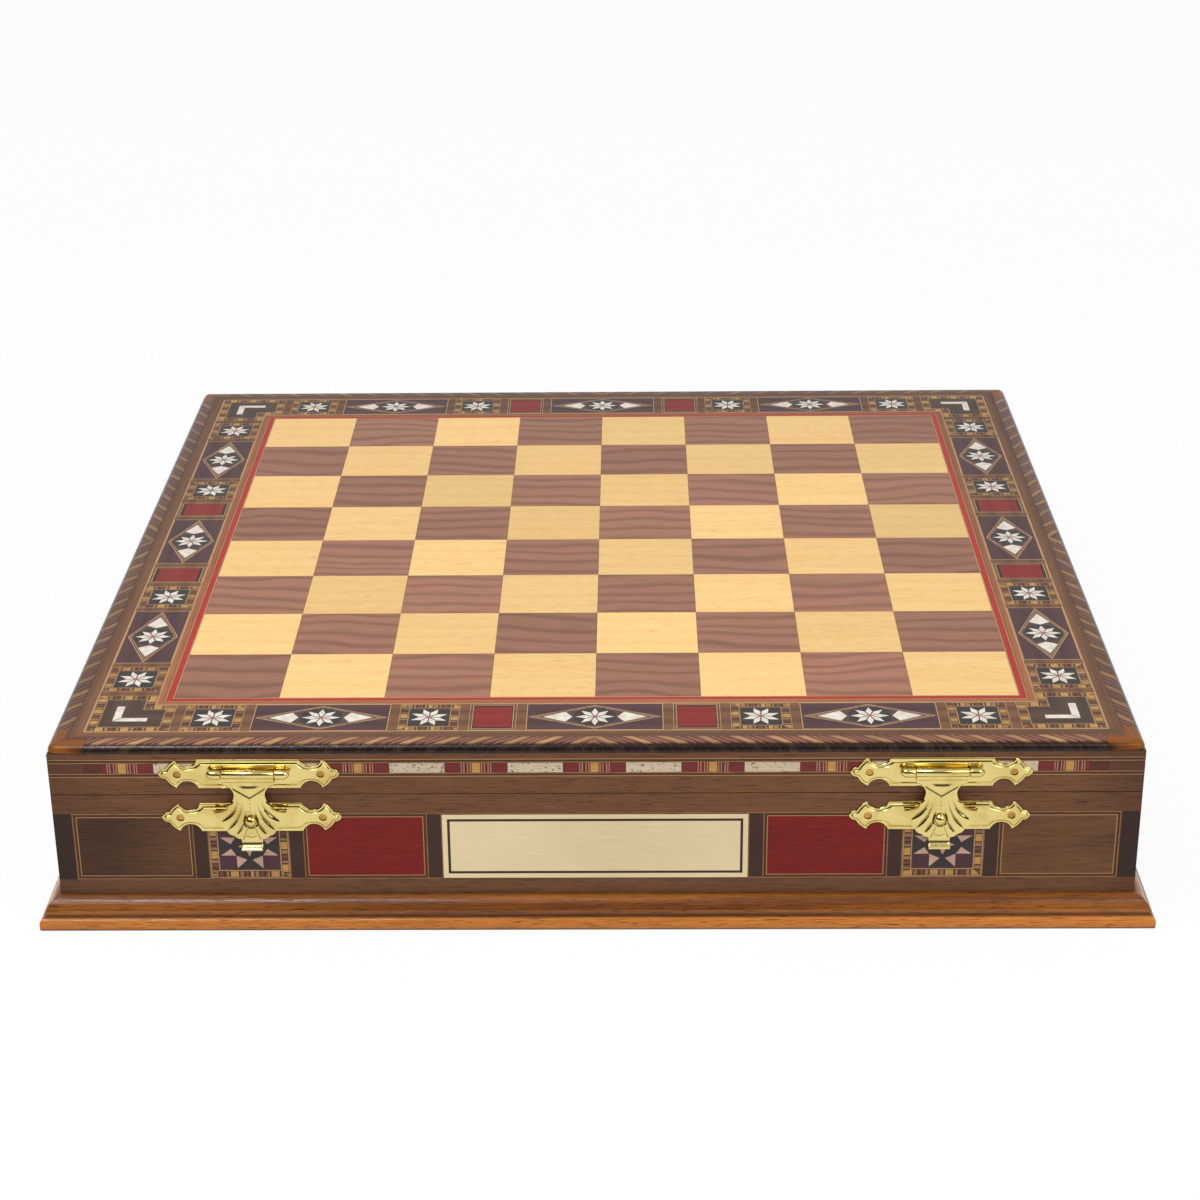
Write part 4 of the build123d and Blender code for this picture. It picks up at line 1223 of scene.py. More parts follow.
def pearlShell(materialName, isStar=False, isCorner=False):
    material, tree, shader, position = newMaterial(materialName)
    clouds = noise(tree, sideWires(tree, position)["Vector"], pearl["cloudScale"], 3.0)
    names = ("shell", "shade", "seam", "dot")
    shell, shade, seamColour, dotColour = [paint(*pearl[name]) for name in names]
    colour = bands(tree, clouds, [(pearl["cloudFrom"], shell), (pearl["cloudTo"], shade)], smooth=True)
    if isStar:
        seam, dot = petalSeams(useGroup(tree, starFrame, {"Position": position}))
        colour = mixColours(tree, dot, mixColours(tree, seam, colour, seamColour), dotColour)
    if isCorner:
        x, y = [wire.size() for wire in inMillimetres(tree, position)[:2]]
        colour = mixColours(tree, (x - y).size().below(pearl["seamHalf"]), colour, seamColour)
    plug(shader.inputs["Base Color"], colour)
    plug(shader.inputs["Roughness"], clouds * 0.2 + 0.15)
    shader.inputs["Specular IOR Level"].default_value = 0.5
    return material


dress(pearlShell("pearlStars", isStar=True), "pearl_stars")
dress(pearlShell("pearlKites"), "pearl_kites")
dress(pearlShell("pearlAngles", isCorner=True), "corner_angles")

fillerWax = {
    "light": (70, 50, 36),
    "dark": (48, 33, 25),
    "pore": (34, 24, 20),
    "figure": 0.3,
    "waves": 2.0,
    "pores": 0.7,
}
dress(sideWood("darkFiller", fillerWax, roughness=0.5), "name_plate_line")

# felt: short crossing hairs, a little lighter where they stand up
feltLook = {
    "hairScale": 1400.0,
    "tuftScale": 60.0,
    "hairs": 0.8,
    "tufts": 0.5,
    "less": 0.15,
    "low": (18, 58, 38),
    "high": (46, 104, 72),
}


def feltMaterial():
    material, tree, shader, position = newMaterial("greenFelt")
    hairs = noise(tree, position, feltLook["hairScale"], 3.0, 0.7)
    tufts = noise(tree, position, feltLook["tuftScale"], 3.0)
    share = hairs * feltLook["hairs"] + tufts * feltLook["tufts"] - feltLook["less"]
    stops = [(0.2, paint(*feltLook["low"])), (0.8, paint(*feltLook["high"]))]
    plug(shader.inputs["Base Color"], bands(tree, share, stops, smooth=True))
    shader.inputs["Roughness"].default_value = 0.95
    shader.inputs["Specular IOR Level"].default_value = 0.1
    shader.inputs["Sheen Weight"].default_value = 0.4
    raised = addNode(tree, "Bump", {"Height": hairs, "Strength": 0.6, "Distance": 0.3 * millimetre})
    plug(shader.inputs["Normal"], raised)
    return material


greenFelt = feltMaterial()
dress(greenFelt, "floor_felt", "lid_felt")
print("CAD pieces dressed")


def newPiece(name, bm, material, body, *replaced):
    mesh = bpy.data.meshes.new(name)
    bm.to_mesh(mesh)
    bm.free()
    mesh.materials.append(material)
    piece = bpy.data.objects.new(name, mesh)
    bpy.context.scene.collection.objects.link(piece)
    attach(piece, body)
    if replaced:
        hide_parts(*replaced)
    return piece


# linings: laid sheets with soft upper edges and a faintly uneven face
felt = {"segments": 48, "edge": 0.0004, "waves": 0.00006, "waveLength": 0.011}


def feltSheet(name, low, high, body, upwards, held, support, *replaced):
    bm = bmesh.new()
    bmesh.ops.create_grid(bm, x_segments=felt["segments"], y_segments=felt["segments"], size=0.5)
    size = high - low
    top, base = (high.z, low.z) if upwards else (low.z, high.z)
    way = 1 if upwards else -1
    rim = {vert for vert in bm.verts if vert.is_boundary}
    for vert in bm.verts:
        x, y = vert.co.x * size.x, vert.co.y * size.y
        wave = sin(x / felt["waveLength"]) * sin(y / felt["waveLength"] + 1.0)
        drop = felt["edge"] if vert in rim else felt["waves"] * (1 + wave)
        place = low.x + (vert.co.x + 0.5) * size.x, low.y + (vert.co.y + 0.5) * size.y
        vert.co = Vector((*place, top - way * drop))
    rimEdges = [edge for edge in bm.edges if edge.is_boundary]
    made = bmesh.ops.extrude_edge_only(bm, edges=rimEdges)["geom"]
    lower = [item for item in made if isinstance(item, bmesh.types.BMVert)]
    for vert in lower:
        vert.co.z = base
    bmesh.ops.contextual_create(bm, geom=[item for item in made if isinstance(item, bmesh.types.BMEdge)])
    bmesh.ops.recalc_face_normals(bm, faces=bm.faces)
    sheet = newPiece(name, bm, greenFelt, body, *replaced)


feltLow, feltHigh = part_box("floor_felt")
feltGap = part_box("wall_right")[0].x - feltHigh.x
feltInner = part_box("divider")[1].x + feltGap
for name, left, right in (("feltLeft", feltLow.x, -feltInner), ("feltRight", feltInner, feltHigh.x)):
    corners = Vector((left, feltLow.y, feltLow.z)), Vector((right, feltHigh.y, feltHigh.z))
    feltSheet(name, *corners, "box", True, "laid", "bottom_panel", "floor_felt")
feltSheet("feltLid", *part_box("lid_felt"), "lid", False, "stretched", "lid_core", "lid_felt")
print("felt linings laid")

# corner pieces of the rope edging: rounded over on top and at the corner itself
edgeCorner = {"length": 13.95, "round": 3.0, "corner": 3.6, "steps": 8, "seat": 0.05}


def edgeCornerSections():
    low, high = [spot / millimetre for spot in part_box("edge_corners")]
    outer, inner = high.x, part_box("lid_core")[1].x / millimetre + edgeCorner["seat"]
    radius, corner, steps = edgeCorner["round"], edgeCorner["corner"], edgeCorner["steps"]
    turns = [pi / 2 * step / steps for step in range(steps + 1)]
    profile = [(outer - inner, low.z), (outer - inner, high.z)]
    profile += [(radius * (1 - sin(turn)), high.z - radius * (1 - cos(turn))) for turn in turns]
    profile += [(0.0, low.z)]
    straight = [(outer - inset, outer - edgeCorner["length"], height) for inset, height in profile]
    sections = [straight]
    for turn in turns:
        bent = []
        for inset, height in profile:
            reach = max(0.0, corner - inset)
            middle = outer - max(corner, inset)
            bent.append((middle + reach * cos(turn), middle + reach * sin(turn), height))
        sections.append(bent)
    return sections + [[(y, x, height) for x, y, height in straight]]


def buildEdgeCorners():
    sections = edgeCornerSections()
    bm = bmesh.new()
    for wayX, wayY in ((1, 1), (-1, 1), (-1, -1), (1, -1)):
        rings = []
        for section in sections:
            spots = [Vector((wayX * x, wayY * y, height)) * millimetre for x, y, height in section]
            rings.append([bm.verts.new(spot) for spot in spots])
        for first, second in zip(rings, rings[1:]):
            for index in range(len(first)):
                bm.faces.new((first[index], first[index - 1], second[index - 1], second[index]))
        bm.faces.new(rings[0])
        bm.faces.new(rings[-1])
    bmesh.ops.remove_doubles(bm, verts=bm.verts, dist=0.001 * millimetre)
    smoothAll(bm)
    piece = newPiece("edgeCorners", bm, honeyVarnish, "lid", "edge_corners")


# brass clasps: the outlines of the solids with their relief, in millimetres
clasp = {
    "barrelRadius": 1.7,
    "barrelForward": 3.3,
    "barrelHalf": 9.7,
    "barrelChamfer": 0.25,
    "bossRadius": 1.85,
    "bossStart": 9.95,
    "bossBody": 3.0,
    "bossPoint": 2.6,
    "bossCollar": ((0.0, 0.3), (0.1, 0.1), (0.35, 0.0)),
    "bossSteps": 8,
    "bossTaper": 0.8,
    "bossTip": 0.02,
    "lugHeight": 2.2,
    "plateHalfLength": 33.4,
    "plateHalfHeight": 5.9,
    "plateEdgeHalf": 18.9,
    "scallop": (22.3, 3.0),
    "leaf": (26.8, 5.8),
    "notch": (30.7, 2.1),
    "leafBulge": 0.3,
    "cornerLean": 0.97,
    "leafInset": 0.62,
    "leafStart": 3.0,
    "insetSlack": 0.985,
    "nailPlace": 26.4,
    "nailHole": 1.36,
    "nailRim": 1.5,
    "nailSink": 0.12,
    "nailSegments": 24,
    "studRadius": 0.9,
    "studForward": 1.7,
}
# each step of a plate's relief: how far in, how far forward
plateSteps = (
    (0.01, 0.3),
    (0.06, 0.14),
    (0.12, 0.1),
    (0.26, 0.1),
    (0.75, 0.02),
    (0.1, -0.06),
    (0.24, 0.08),
    (0.26, 0.12),
    (0.16, 0.14),
    (0.1, 0.06),
)
hasp = {
    "back": 2.0,
    "thickness": 1.0,
    "topHalf": 9.3,
    "shoulderDrop": 4.7,
    "neck": (5.7, -8.5),
    "wing": (13.6, -14.5),
    "scallops": ((11.1, -19.7), (9.1, -23.4), (6.5, -25.7)),
    "tongue": (3.9, -27.2),
    "scallopBulge": 0.5,
    "curlDrop": 27.9,
    "curlRadius": 2.2,
    "curlAngle": 80.0,
    "cell": 0.25,
    "ribStarts": ((4.3, -11.2), (2.8, -12.2), (1.7, -15.0)),
    "ribEnds": ((10.5, -18.7), (8.6, -22.2), (6.0, -24.6)),
    "ribBulge": -1.3,
    "ribWidth": 0.42,
    "ribDepth": 0.3,
    "ribNarrow": 0.6,
    "ribWiden": 0.5,
    "ribGrow": 2.5,
    "ribLeast": 0.1,
    "ribFade": 4.0,
    "ribDark": 0.8,
    "ribDarkWidth": 0.2,
    "ribDarkWiden": 0.1,
    "fluteRise": 0.35,
    "fluteWidth": 0.9,
    "rollReach": 1.7,
    "rollRise": 1.3,
    "rollShares": (0.25, 0.55),
    "edgeDepth": 0.25,
    "edgeWidth": 0.22,
    "apronRise": 0.9,
    "apronDrop": 5.4,
    "apronLine": 3.2,
    "arcRise": 0.25,
    "arcReach": 3.0,
    "arcEnds": (4.2, 2.2),
    "creaseHalf": 5.9,
    "creaseTop": -6.0,
    "creaseTip": (0.0, -9.9),
    "seamEnd": (0.0, -16.8),
    "dashes": 4.0,
    "fanTop": (-11.5, -15.5),
    "fanFoot": (-27.0, -25.0),
    "domeDrop": 19.5,
    "domeRadius": 2.2,
    "domeSink": 0.35,
    "ringGap": 0.25,
    "tongueLine": ((1.5, -22.3), (3.1, -26.9)),
    "crescentDrop": 23.6,
    "crescentRadius": 2.6,
    "crescentTop": -25.4,
    "curlShade": 0.7,
}
# grooves of the hasp: how deep and how wide, then how dark and how wide the dark is. The dark is patina and
# painted shade together, and where a groove has no depth, at the dome's foot and on the curl, it is painted
# shade only
haspGrooves = {
    "apron": (0.12, 0.24, 0.5, 0.16),
    "arc": (0.28, 0.4, 0.95, 0.4),
    "crease": (0.3, 0.24, 0.8, 0.2),
    "dashes": (0.1, 0.18, 0.8, 0.18),
    "domeRing": (0.35, 0.3, 0.0, 0.3),
    "domeFoot": (0.0, 0.35, 0.45, 0.35),
    "tongue": (0.3, 0.24, 0.5, 0.18),
    "crescent": (0.15, 0.2, 0.6, 0.2),
    "curl": (0.0, 0.35, 0.7, 0.35),
}
wallFace = -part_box("wall_front")[0].y / millimetre
claspMiddles = {}
for name in ("hasp_left", "hasp_right"):
    low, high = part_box(name)
    claspMiddles[name] = (low.x + high.x) / 2 / millimetre
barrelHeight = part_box("hasp_right")[1].z / millimetre - clasp["barrelRadius"]


def middleHeight(name):
    low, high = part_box(name)
    return (low.z + high.z) / 2 / millimetre


def claspPoint(x, z, forward):
    return Vector((x, -wallFace - forward, z)) * millimetre


def arcThrough(start, middle, end, steps=8):
    first, second, third = complex(*start), complex(*middle), complex(*end)
    ratio = (third - first) / (second - first)
    centre = first + (second - first) * (ratio - abs(ratio) ** 2) / (2j * ratio.imag)
    turn = phase((third - centre) / (first - centre))
    places = [centre + (first - centre) * rect(1, turn * step / steps) for step in range(1, steps + 1)]
    return [(place.real, place.imag) for place in places]


# bulge is to the left of the way from start to end
def bulgeArc(start, end, bulge, steps=8):
    first, last = complex(*start), complex(*end)
    middle = (first + last) / 2 + (last - first) / abs(last - first) * 1j * bulge
    return arcThrough(start, (middle.real, middle.imag), end, steps)


def tangentArc(start, end, tangent, steps=12):
    chord = complex(*end) - complex(*start)
    lean = phase(complex(*tangent) / chord)
    return bulgeArc(start, end, abs(chord) / 2 * tan(lean / 2), steps)


def plateOutline():
    halfHeight, edgeHalf = clasp["plateHalfHeight"], clasp["plateEdgeHalf"]
    leaf, notch = clasp["leaf"], clasp["notch"]
    bulge = clasp["leafBulge"]
    leafMiddle = ((leaf[0] + notch[0]) / 2 + bulge, (leaf[1] + notch[1]) / 2 + bulge)
    quarter = [(0, halfHeight), (edgeHalf, halfHeight)]
    quarter += arcThrough((edgeHalf, halfHeight), clasp["scallop"], leaf, 14)
    quarter += arcThrough(leaf, leafMiddle, notch, 6)
    quarter += tangentArc(notch, (clasp["plateHalfLength"], 0), (1, 0), 10)
    right = quarter + [(x, -z) for x, z in reversed(quarter[:-1])]
    return right + [(-x, z) for x, z in reversed(right[1:-1])]


# nearest spot of a path: how far away, its share of the path, and where it is
def nearest(x, z, path):
    best = (1000.0, 0.0, x, z)
    for index, ((ax, az), (bx, bz)) in enumerate(zip(path, path[1:])):
        dx, dz = bx - ax, bz - az
        share = ((x - ax) * dx + (z - az) * dz) / (dx * dx + dz * dz)
        share = min(1.0, max(0.0, share))
        spot = (ax + dx * share, az + dz * share)
        gap = hypot(x - spot[0], z - spot[1])
        if gap < best[0]:
            best = (gap, (index + share) / (len(path) - 1), *spot)
    return best


# 0 before the start, 1 past the end, and even between
def ramp(value, start, end):
    return min(1.0, max(0.0, (value - start) / (end - start)))


def insetScale(reach):
    share = ramp(reach, clasp["plateEdgeHalf"], clasp["plateEdgeHalf"] + clasp["leafStart"])
    return 1.0 - share * (1.0 - clasp["leafInset"])


# the outline moved inwards: what crosses a corner's mitre closes on it
def insetRing(outline, inward):
    count = len(outline)
    spots = []
    corners = []
    for index in range(count):
        before, here, after = [complex(*outline[step % count]) for step in (index - 1, index, index + 1)]
        first, second = (here - before) / abs(here - before), (after - here) / abs(after - here)
        along = (first + second) / abs(first + second)
        lean = (along / first).real
        scale = inward * insetScale(abs(here.real))
        spot = here - along * 1j * scale / lean
        spots.append((spot.real, spot.imag))
        if lean < clasp["cornerLean"]:
            corners.append(index)
    closed = outline + outline[:1]
    for index, (x, z) in enumerate(spots):
        reach = inward * insetScale(abs(outline[index][0])) * clasp["insetSlack"]
        if index not in corners and nearest(x, z, closed)[0] < reach:
            gaps = [(hypot(spots[corner][0] - x, spots[corner][1] - z), corner) for corner in corners]
            spots[index] = spots[min(gaps)[1]]
    return spots


# a nail's hole: its rim lies flat, its wall is painted dark as shade and runs down to the plate's back
def nailHole(bm, place, height, top, darkening):
    segments = clasp["nailSegments"]
    turns = [2 * pi * step / segments for step in range(segments)]
    hole = clasp["nailHole"]
    rims = []
    for reach, level in ((clasp["nailRim"], top), (hole, top - clasp["nailSink"]), (hole, 0.0)):
        spots = [(place + reach * cos(turn), height + reach * sin(turn)) for turn in turns]
        rims.append([bm.verts.new(claspPoint(*spot, level)) for spot in spots])
    for vert in rims[1] + rims[2]:
        vert[darkening] = 1.0
    for first, second in zip(rims, rims[1:]):
        for index in range(segments):
            bm.faces.new((first[index], first[index - 1], second[index - 1], second[index]))


def isLevel(edge, y):
    return all(abs(vert.co.y - y) < 0.01 * millimetre for vert in edge.verts)


# the outline steps inwards and forwards, and a flat front and back close it
def reliefPlate(bm, middle, height, darkening):
    outline = plateOutline()
    inward, forward = 0.0, 0.0
    rings = [(outline, 0.0)]
    for more, rise in plateSteps:
        inward += more
        forward += rise
        rings.append((insetRing(outline, inward), forward))
    laid = []
    for ring, level in rings:
        laid.append([bm.verts.new(claspPoint(middle + x, height + z, level)) for x, z in ring])
    for first, second in zip(laid, laid[1:]):
        for index in range(len(outline)):
            bm.faces.new((first[index], second[index], second[index - 1], first[index - 1]))
    for way in (-1, 1):
        nailHole(bm, middle + way * clasp["nailPlace"], height, forward, darkening)
    for ring, level, normal in ((laid[-1], forward, (0, -1, 0)), (laid[0], 0.0, (0, 1, 0))):
        bmesh.ops.remove_doubles(bm, verts=ring, dist=0.002 * millimetre)
        y = -(wallFace + level) * millimetre
        edges = [edge for edge in bm.edges if len(edge.link_faces) == 1 and isLevel(edge, y)]
        bmesh.ops.triangle_fill(bm, use_beauty=True, use_dissolve=False, edges=edges, normal=normal)
    for edge in bm.edges:
        if edge.is_valid and len({round(vert.co.y, 7) for vert in edge.verts}) == 1:
            edge.smooth = False


# a turned piece along X: its profile is pairs of place and radius
def turnedPiece(bm, profile, middle, height, forward, segments=32):
    known = set(bm.edges)
    spots = [claspPoint(middle + place, height + radius, forward) for place, radius in profile]
    verts = [bm.verts.new(spot) for spot in spots]
    edges = [bm.edges.new(pair) for pair in zip(verts, verts[1:])]
    axle = claspPoint(middle, height, forward)
    turning = {"cent": axle, "axis": (1, 0, 0), "angle": 2 * pi, "steps": segments, "use_merge": True}
    bmesh.ops.spin(bm, geom=verts + edges, **turning)
    rims = [edge for edge in bm.edges if edge not in known and edge.is_boundary]
    bmesh.ops.holes_fill(bm, edges=rims, sides=segments)


def ball(bm, radius, place):
    matrix = Matrix.Translation(place)
    bmesh.ops.create_uvsphere(bm, u_segments=32, v_segments=20, radius=radius * millimetre, matrix=matrix)


def smoothAll(bm, angle=35.0):
    bmesh.ops.recalc_face_normals(bm, faces=bm.faces)
    for face in bm.faces:
        face.smooth = True
    for edge in bm.edges:
        if len(edge.link_faces) == 2 and edge.calc_face_angle() > radians(angle):
            edge.smooth = False


def bossProfile(way):
    start, body, point = clasp["bossStart"], clasp["bossBody"], clasp["bossPoint"]
    radius, steps = clasp["bossRadius"], clasp["bossSteps"]
    profile = [(start + along, radius - less) for along, less in clasp["bossCollar"]]
    profile += [(start + body, radius)]
    for step in range(1, steps + 1):
        share = step / steps
        size = radius * (1 - share**2) ** clasp["bossTaper"] + clasp["bossTip"]
        profile.append((start + body + point * share, size))
    return [(way * place, size) for place, size in profile]


def buildPlates(name, nodeName, body, barrels):
    bm = bmesh.new()
    darkening = bm.verts.layers.float.new("PatinaAndShade")
    height = middleHeight(nodeName)
    for middle in claspMiddles.values():
        reliefPlate(bm, middle, height, darkening)
        if barrels:
            for way in (-1, 1):
                turnedPiece(bm, bossProfile(way), middle, barrelHeight, clasp["barrelForward"])
                place = middle + way * (clasp["bossStart"] + clasp["bossBody"] / 2)
                lugSize = (clasp["bossBody"], clasp["barrelForward"], clasp["lugHeight"], 1 / millimetre)
                spot = Matrix.Translation(claspPoint(place, barrelHeight, clasp["barrelForward"] / 2))
                lug = spot @ Matrix.Diagonal([size * millimetre for size in lugSize])
                bmesh.ops.create_cube(bm, size=1.0, matrix=lug)
        else:
            forward = clasp["studForward"] - clasp["studRadius"]
            ball(bm, clasp["studRadius"], claspPoint(middle, barrelHeight - hasp["domeDrop"], forward))
    smoothAll(bm)
    piece = newPiece(name, bm, polishedBrass, body, nodeName)


def haspOutline():
    top, drop, neck = hasp["topHalf"], hasp["shoulderDrop"], hasp["neck"]
    bend = ((top + 2 * neck[0]) / 3, (-2 * drop + neck[1]) / 3)
    half = [(top, 0.0), (top, -drop)] + arcThrough((top, -drop), bend, neck)
    wingEdge = [neck] + tangentArc(neck, hasp["wing"], (0, -1), 16)
    half += wingEdge[1:]
    fan = [hasp["wing"], *hasp["scallops"], hasp["tongue"]]
    for start, end in zip(fan, fan[1:]):
        half += bulgeArc(start, end, hasp["scallopBulge"])
    lipEnd = -hasp["curlDrop"] - hasp["curlRadius"] * radians(hasp["curlAngle"])
    half.append((hasp["tongue"][0], lipEnd))
    return half + [(-x, z) for x, z in reversed(half)], wingEdge


def inside(x, z, outline):
    crossings = 0
    for (ax, az), (bx, bz) in zip(outline, outline[1:] + outline[:1]):
        if (az > z) != (bz > z) and x < ax + (z - az) * (bx - ax) / (bz - az):
            crossings += 1
    return crossings % 2 == 1


def line(gap, width):
    return exp(-((gap / width) ** 2))


def groove(name, gap, share=1.0):
    depth, width, dark, darkWidth = haspGrooves[name]
    return share * depth * line(gap, width), share * dark * line(gap, darkWidth)


def haspRib(start, end):
    return [start, *bulgeArc(start, end, hasp["ribBulge"])]


# a rib's groove: faint where it starts, widening on its way, and fading out at its end
def ribGroove(gap, share):
    strength = min(1.0, share * hasp["ribGrow"] + hasp["ribLeast"], (1 - share) * hasp["ribFade"])
    width = hasp["ribWidth"] * (hasp["ribNarrow"] + hasp["ribWiden"] * share)
    darkWidth = hasp["ribDarkWidth"] + hasp["ribDarkWiden"] * share
    depth = hasp["ribDepth"] * strength * line(gap, width)
    return depth, hasp["ribDark"] * strength * line(gap, darkWidth)


haspRibs = [haspRib(start, end) for start, end in zip(hasp["ribStarts"], hasp["ribEnds"])]


# how far the hasp's front stands out of its flat sheet, and how dark it is there, the dark being patina and
# painted shade
def haspRelief(x, z, outline, wingEdge):
    x = abs(x)
    gap, share = nearest(x, z, wingEdge)[:2]
    roll = max(0.0, 1 - gap / hasp["rollReach"]) ** 2 * ramp(share, *hasp["rollShares"]) * hasp["rollRise"]
    roll += max(0.0, 1 + z / hasp["apronDrop"]) * hasp["apronRise"]
    arcDrop = hasp["apronDrop"] - hasp["arcRise"] * (x / hasp["arcReach"]) ** 2
    crease = nearest(x, z, [hasp["creaseTip"], (hasp["creaseHalf"], hasp["creaseTop"])])[0]
    seam = nearest(x, z, [hasp["creaseTip"], hasp["seamEnd"]])[0]
    domeGap = hypot(x, z + hasp["domeDrop"]) - hasp["domeRadius"]
    crescentGap = hypot(x, z + hasp["crescentDrop"]) - hasp["crescentRadius"]
    grooves = [
        groove("apron", z + hasp["apronLine"]),
        groove("arc", z + arcDrop, ramp(x, *hasp["arcEnds"])),
        groove("crease", crease),
        groove("dashes", seam, max(0.0, sin(z * hasp["dashes"]))),
        groove("domeRing", domeGap - hasp["ringGap"]),
        groove("domeFoot", domeGap),
        groove("tongue", nearest(x, z, hasp["tongueLine"])[0]),
        groove("crescent", crescentGap, 1.0 if z < hasp["crescentTop"] else 0.0),
        groove("curl", z + hasp["curlDrop"] + hasp["curlShade"]),
    ]
    ribs = [nearest(x, z, rib)[:2] for rib in haspRibs]
    grooves += [ribGroove(gap, share) for gap, share in ribs]
    detail = -hasp["edgeDepth"] * exp(-nearest(x, z, outline + outline[:1])[0] / hasp["edgeWidth"])
    fan = ramp(z, *hasp["fanTop"]) * ramp(z, *hasp["fanFoot"])
    detail += hasp["fluteRise"] * fan * (1 - line(min(gap for gap, share in ribs), hasp["fluteWidth"]))
    detail -= sum(depth for depth, dark in grooves)
    return roll, detail, sum(dark for depth, dark in grooves)


# a point of the hasp's sheet, lift being how far it stands before the sheet's flat front
def haspPoint(middle, x, z, lift):
    front = hasp["back"] + hasp["thickness"]
    beyond = -z - hasp["curlDrop"]
    if beyond <= 0:
        return claspPoint(middle + x, barrelHeight + z, front + lift)
    turn = beyond / hasp["curlRadius"]
    radius = hasp["curlRadius"] - lift
    drop = hasp["curlDrop"] + radius * sin(turn)
    return claspPoint(middle + x, barrelHeight - drop, front + hasp["curlRadius"] - radius * cos(turn))


# a front and a back sheet of small cells, with their rims moved onto the outline and joined
def buildHasp(name, nodeName):
    bm = bmesh.new()
    darkening = bm.verts.layers.float.new("PatinaAndShade")
    middle = claspMiddles[nodeName]
    outline, wingEdge = haspOutline()
    cell = hasp["cell"]
    columns = int(hasp["wing"][0] / cell) + 2
    rows = int(-min(z for x, z in outline) / cell) + 2
    cells = []
    for row in range(rows):
        for column in range(-columns, columns):
            if inside((column + 0.5) * cell, -(row + 0.5) * cell, outline):
                cells.append((column, row))
    corners = {}
    for column, row in cells:
        for spot in ((column, row), (column + 1, row), (column + 1, row + 1), (column, row + 1)):
            corners[spot] = corners.get(spot, 0) + 1
    closed = outline + outline[:1]
    sheets = {}
    for (column, row), count in corners.items():
        x, z = column * cell, -row * cell
        if count < 4:
            x, z = nearest(x, z, closed)[2:]
        roll, detail, dark = haspRelief(x, z, outline, wingEdge)
        frontVert = bm.verts.new(haspPoint(middle, x, z, roll + detail))
        frontVert[darkening] = dark
        backVert = bm.verts.new(haspPoint(middle, x, z, roll - hasp["thickness"]))
        sheets[column, row] = (frontVert, backVert)
    for column, row in cells:
        around = ((column, row), (column, row + 1), (column + 1, row + 1), (column + 1, row))
        bm.faces.new([sheets[spot][0] for spot in around])
        bm.faces.new([sheets[spot][1] for spot in reversed(around)])
    known = set(cells)
    for column, row in cells:
        borders = (
            ((column - 1, row), (column, row), (column, row + 1)),
            ((column, row + 1), (column, row + 1), (column + 1, row + 1)),
            ((column + 1, row), (column + 1, row + 1), (column + 1, row)),
            ((column, row - 1), (column + 1, row), (column, row)),
        )
        for neighbour, first, second in borders:
            if neighbour not in known:
                (front, back), (nextFront, nextBack) = sheets[first], sheets[second]
                bm.faces.new((nextFront, front, back, nextBack))
    half, chamfer, radius = clasp["barrelHalf"], clasp["barrelChamfer"], clasp["barrelRadius"]
    profile = [(-half, radius - chamfer), (-half + chamfer, radius)]
    profile += [(half - chamfer, radius), (half, radius - chamfer)]
    turnedPiece(bm, profile, middle, barrelHeight, clasp["barrelForward"])
    domeForward = hasp["back"] + hasp["thickness"] - hasp["domeSink"]
    ball(bm, hasp["domeRadius"], claspPoint(middle, barrelHeight - hasp["domeDrop"], domeForward))
    smoothAll(bm, 50.0)
    piece = newPiece(name, bm, polishedBrass, nodeName, nodeName)


buildEdgeCorners()
buildPlates("claspPlates", "clasp_plates", "lid", True)
buildPlates("catchPlates", "catch_plates", "box", False)
buildHasp("haspLeft", "hasp_left")
buildHasp("haspRight", "hasp_right")
print("clasps built")

# floor, lamps and the camera of the photograph
stageSettings = {
    "floorSize": 12.0,
    "floorColour": (250, 250, 250),
    "floorGlow": 0.92,
    "worldStrength": 0.62,
    "bandTop": 0.6,
    "bandSoft": 0.08,
    "bandLevel": 0.05,
    "aheadLean": 0.35,
    "aheadFrom": 0.1,
    "aheadTo": -0.25,
}
lamps = {
    "keyLamp": {
        "power": 8.0,
        "size": (1.2, 0.8),
        "place": (-0.7, -0.6, 1.3),
        "target": (0, 0, 0),
    },
    "fillLamp": {
        "power": 7.2,
        "size": (1.0, 1.0),
        "place": (0.9, -0.9, 0.9),
        "target": (0, 0, 0),
    },
    "glintLamp": {
        "power": 3.7,
        "size": (0.4, 0.12),
        "place": (-0.43, -0.68, 1.3),
        "target": (-0.43, -0.2, 0),
    },
}


def buildFloor():
    bm = bmesh.new()
    bmesh.ops.create_grid(bm, x_segments=1, y_segments=1, size=stageSettings["floorSize"] / 2)
    mesh = bpy.data.meshes.new("floor")
    bm.to_mesh(mesh)
    bm.free()
    floor = bpy.data.objects.new("floor", mesh)
    bpy.context.scene.collection.objects.link(floor)
    material, tree, shader = newMaterial("floorPaint")[:3]
    shader.inputs["Base Color"].default_value = paint(*stageSettings["floorColour"])
    shader.inputs["Roughness"].default_value = 0.9
    shader.inputs["Specular IOR Level"].default_value = 0.0
    rays = tree.nodes.new("ShaderNodeLightPath").outputs
    seen = Wire(tree, rays["Is Camera Ray"]).math("MAXIMUM", Wire(tree, rays["Is Glossy Ray"]))
    glow = tree.nodes.new("ShaderNodeEmission")
    blend = tree.nodes.new("ShaderNodeMixShader")
    plug(blend.inputs[0], seen * stageSettings["floorGlow"])
    tree.links.new(shader.outputs[0], blend.inputs[1])
    tree.links.new(glow.outputs[0], blend.inputs[2])
    tree.links.new(blend.outputs[0], tree.nodes["Material Output"].inputs[0])
    mesh.materials.append(material)


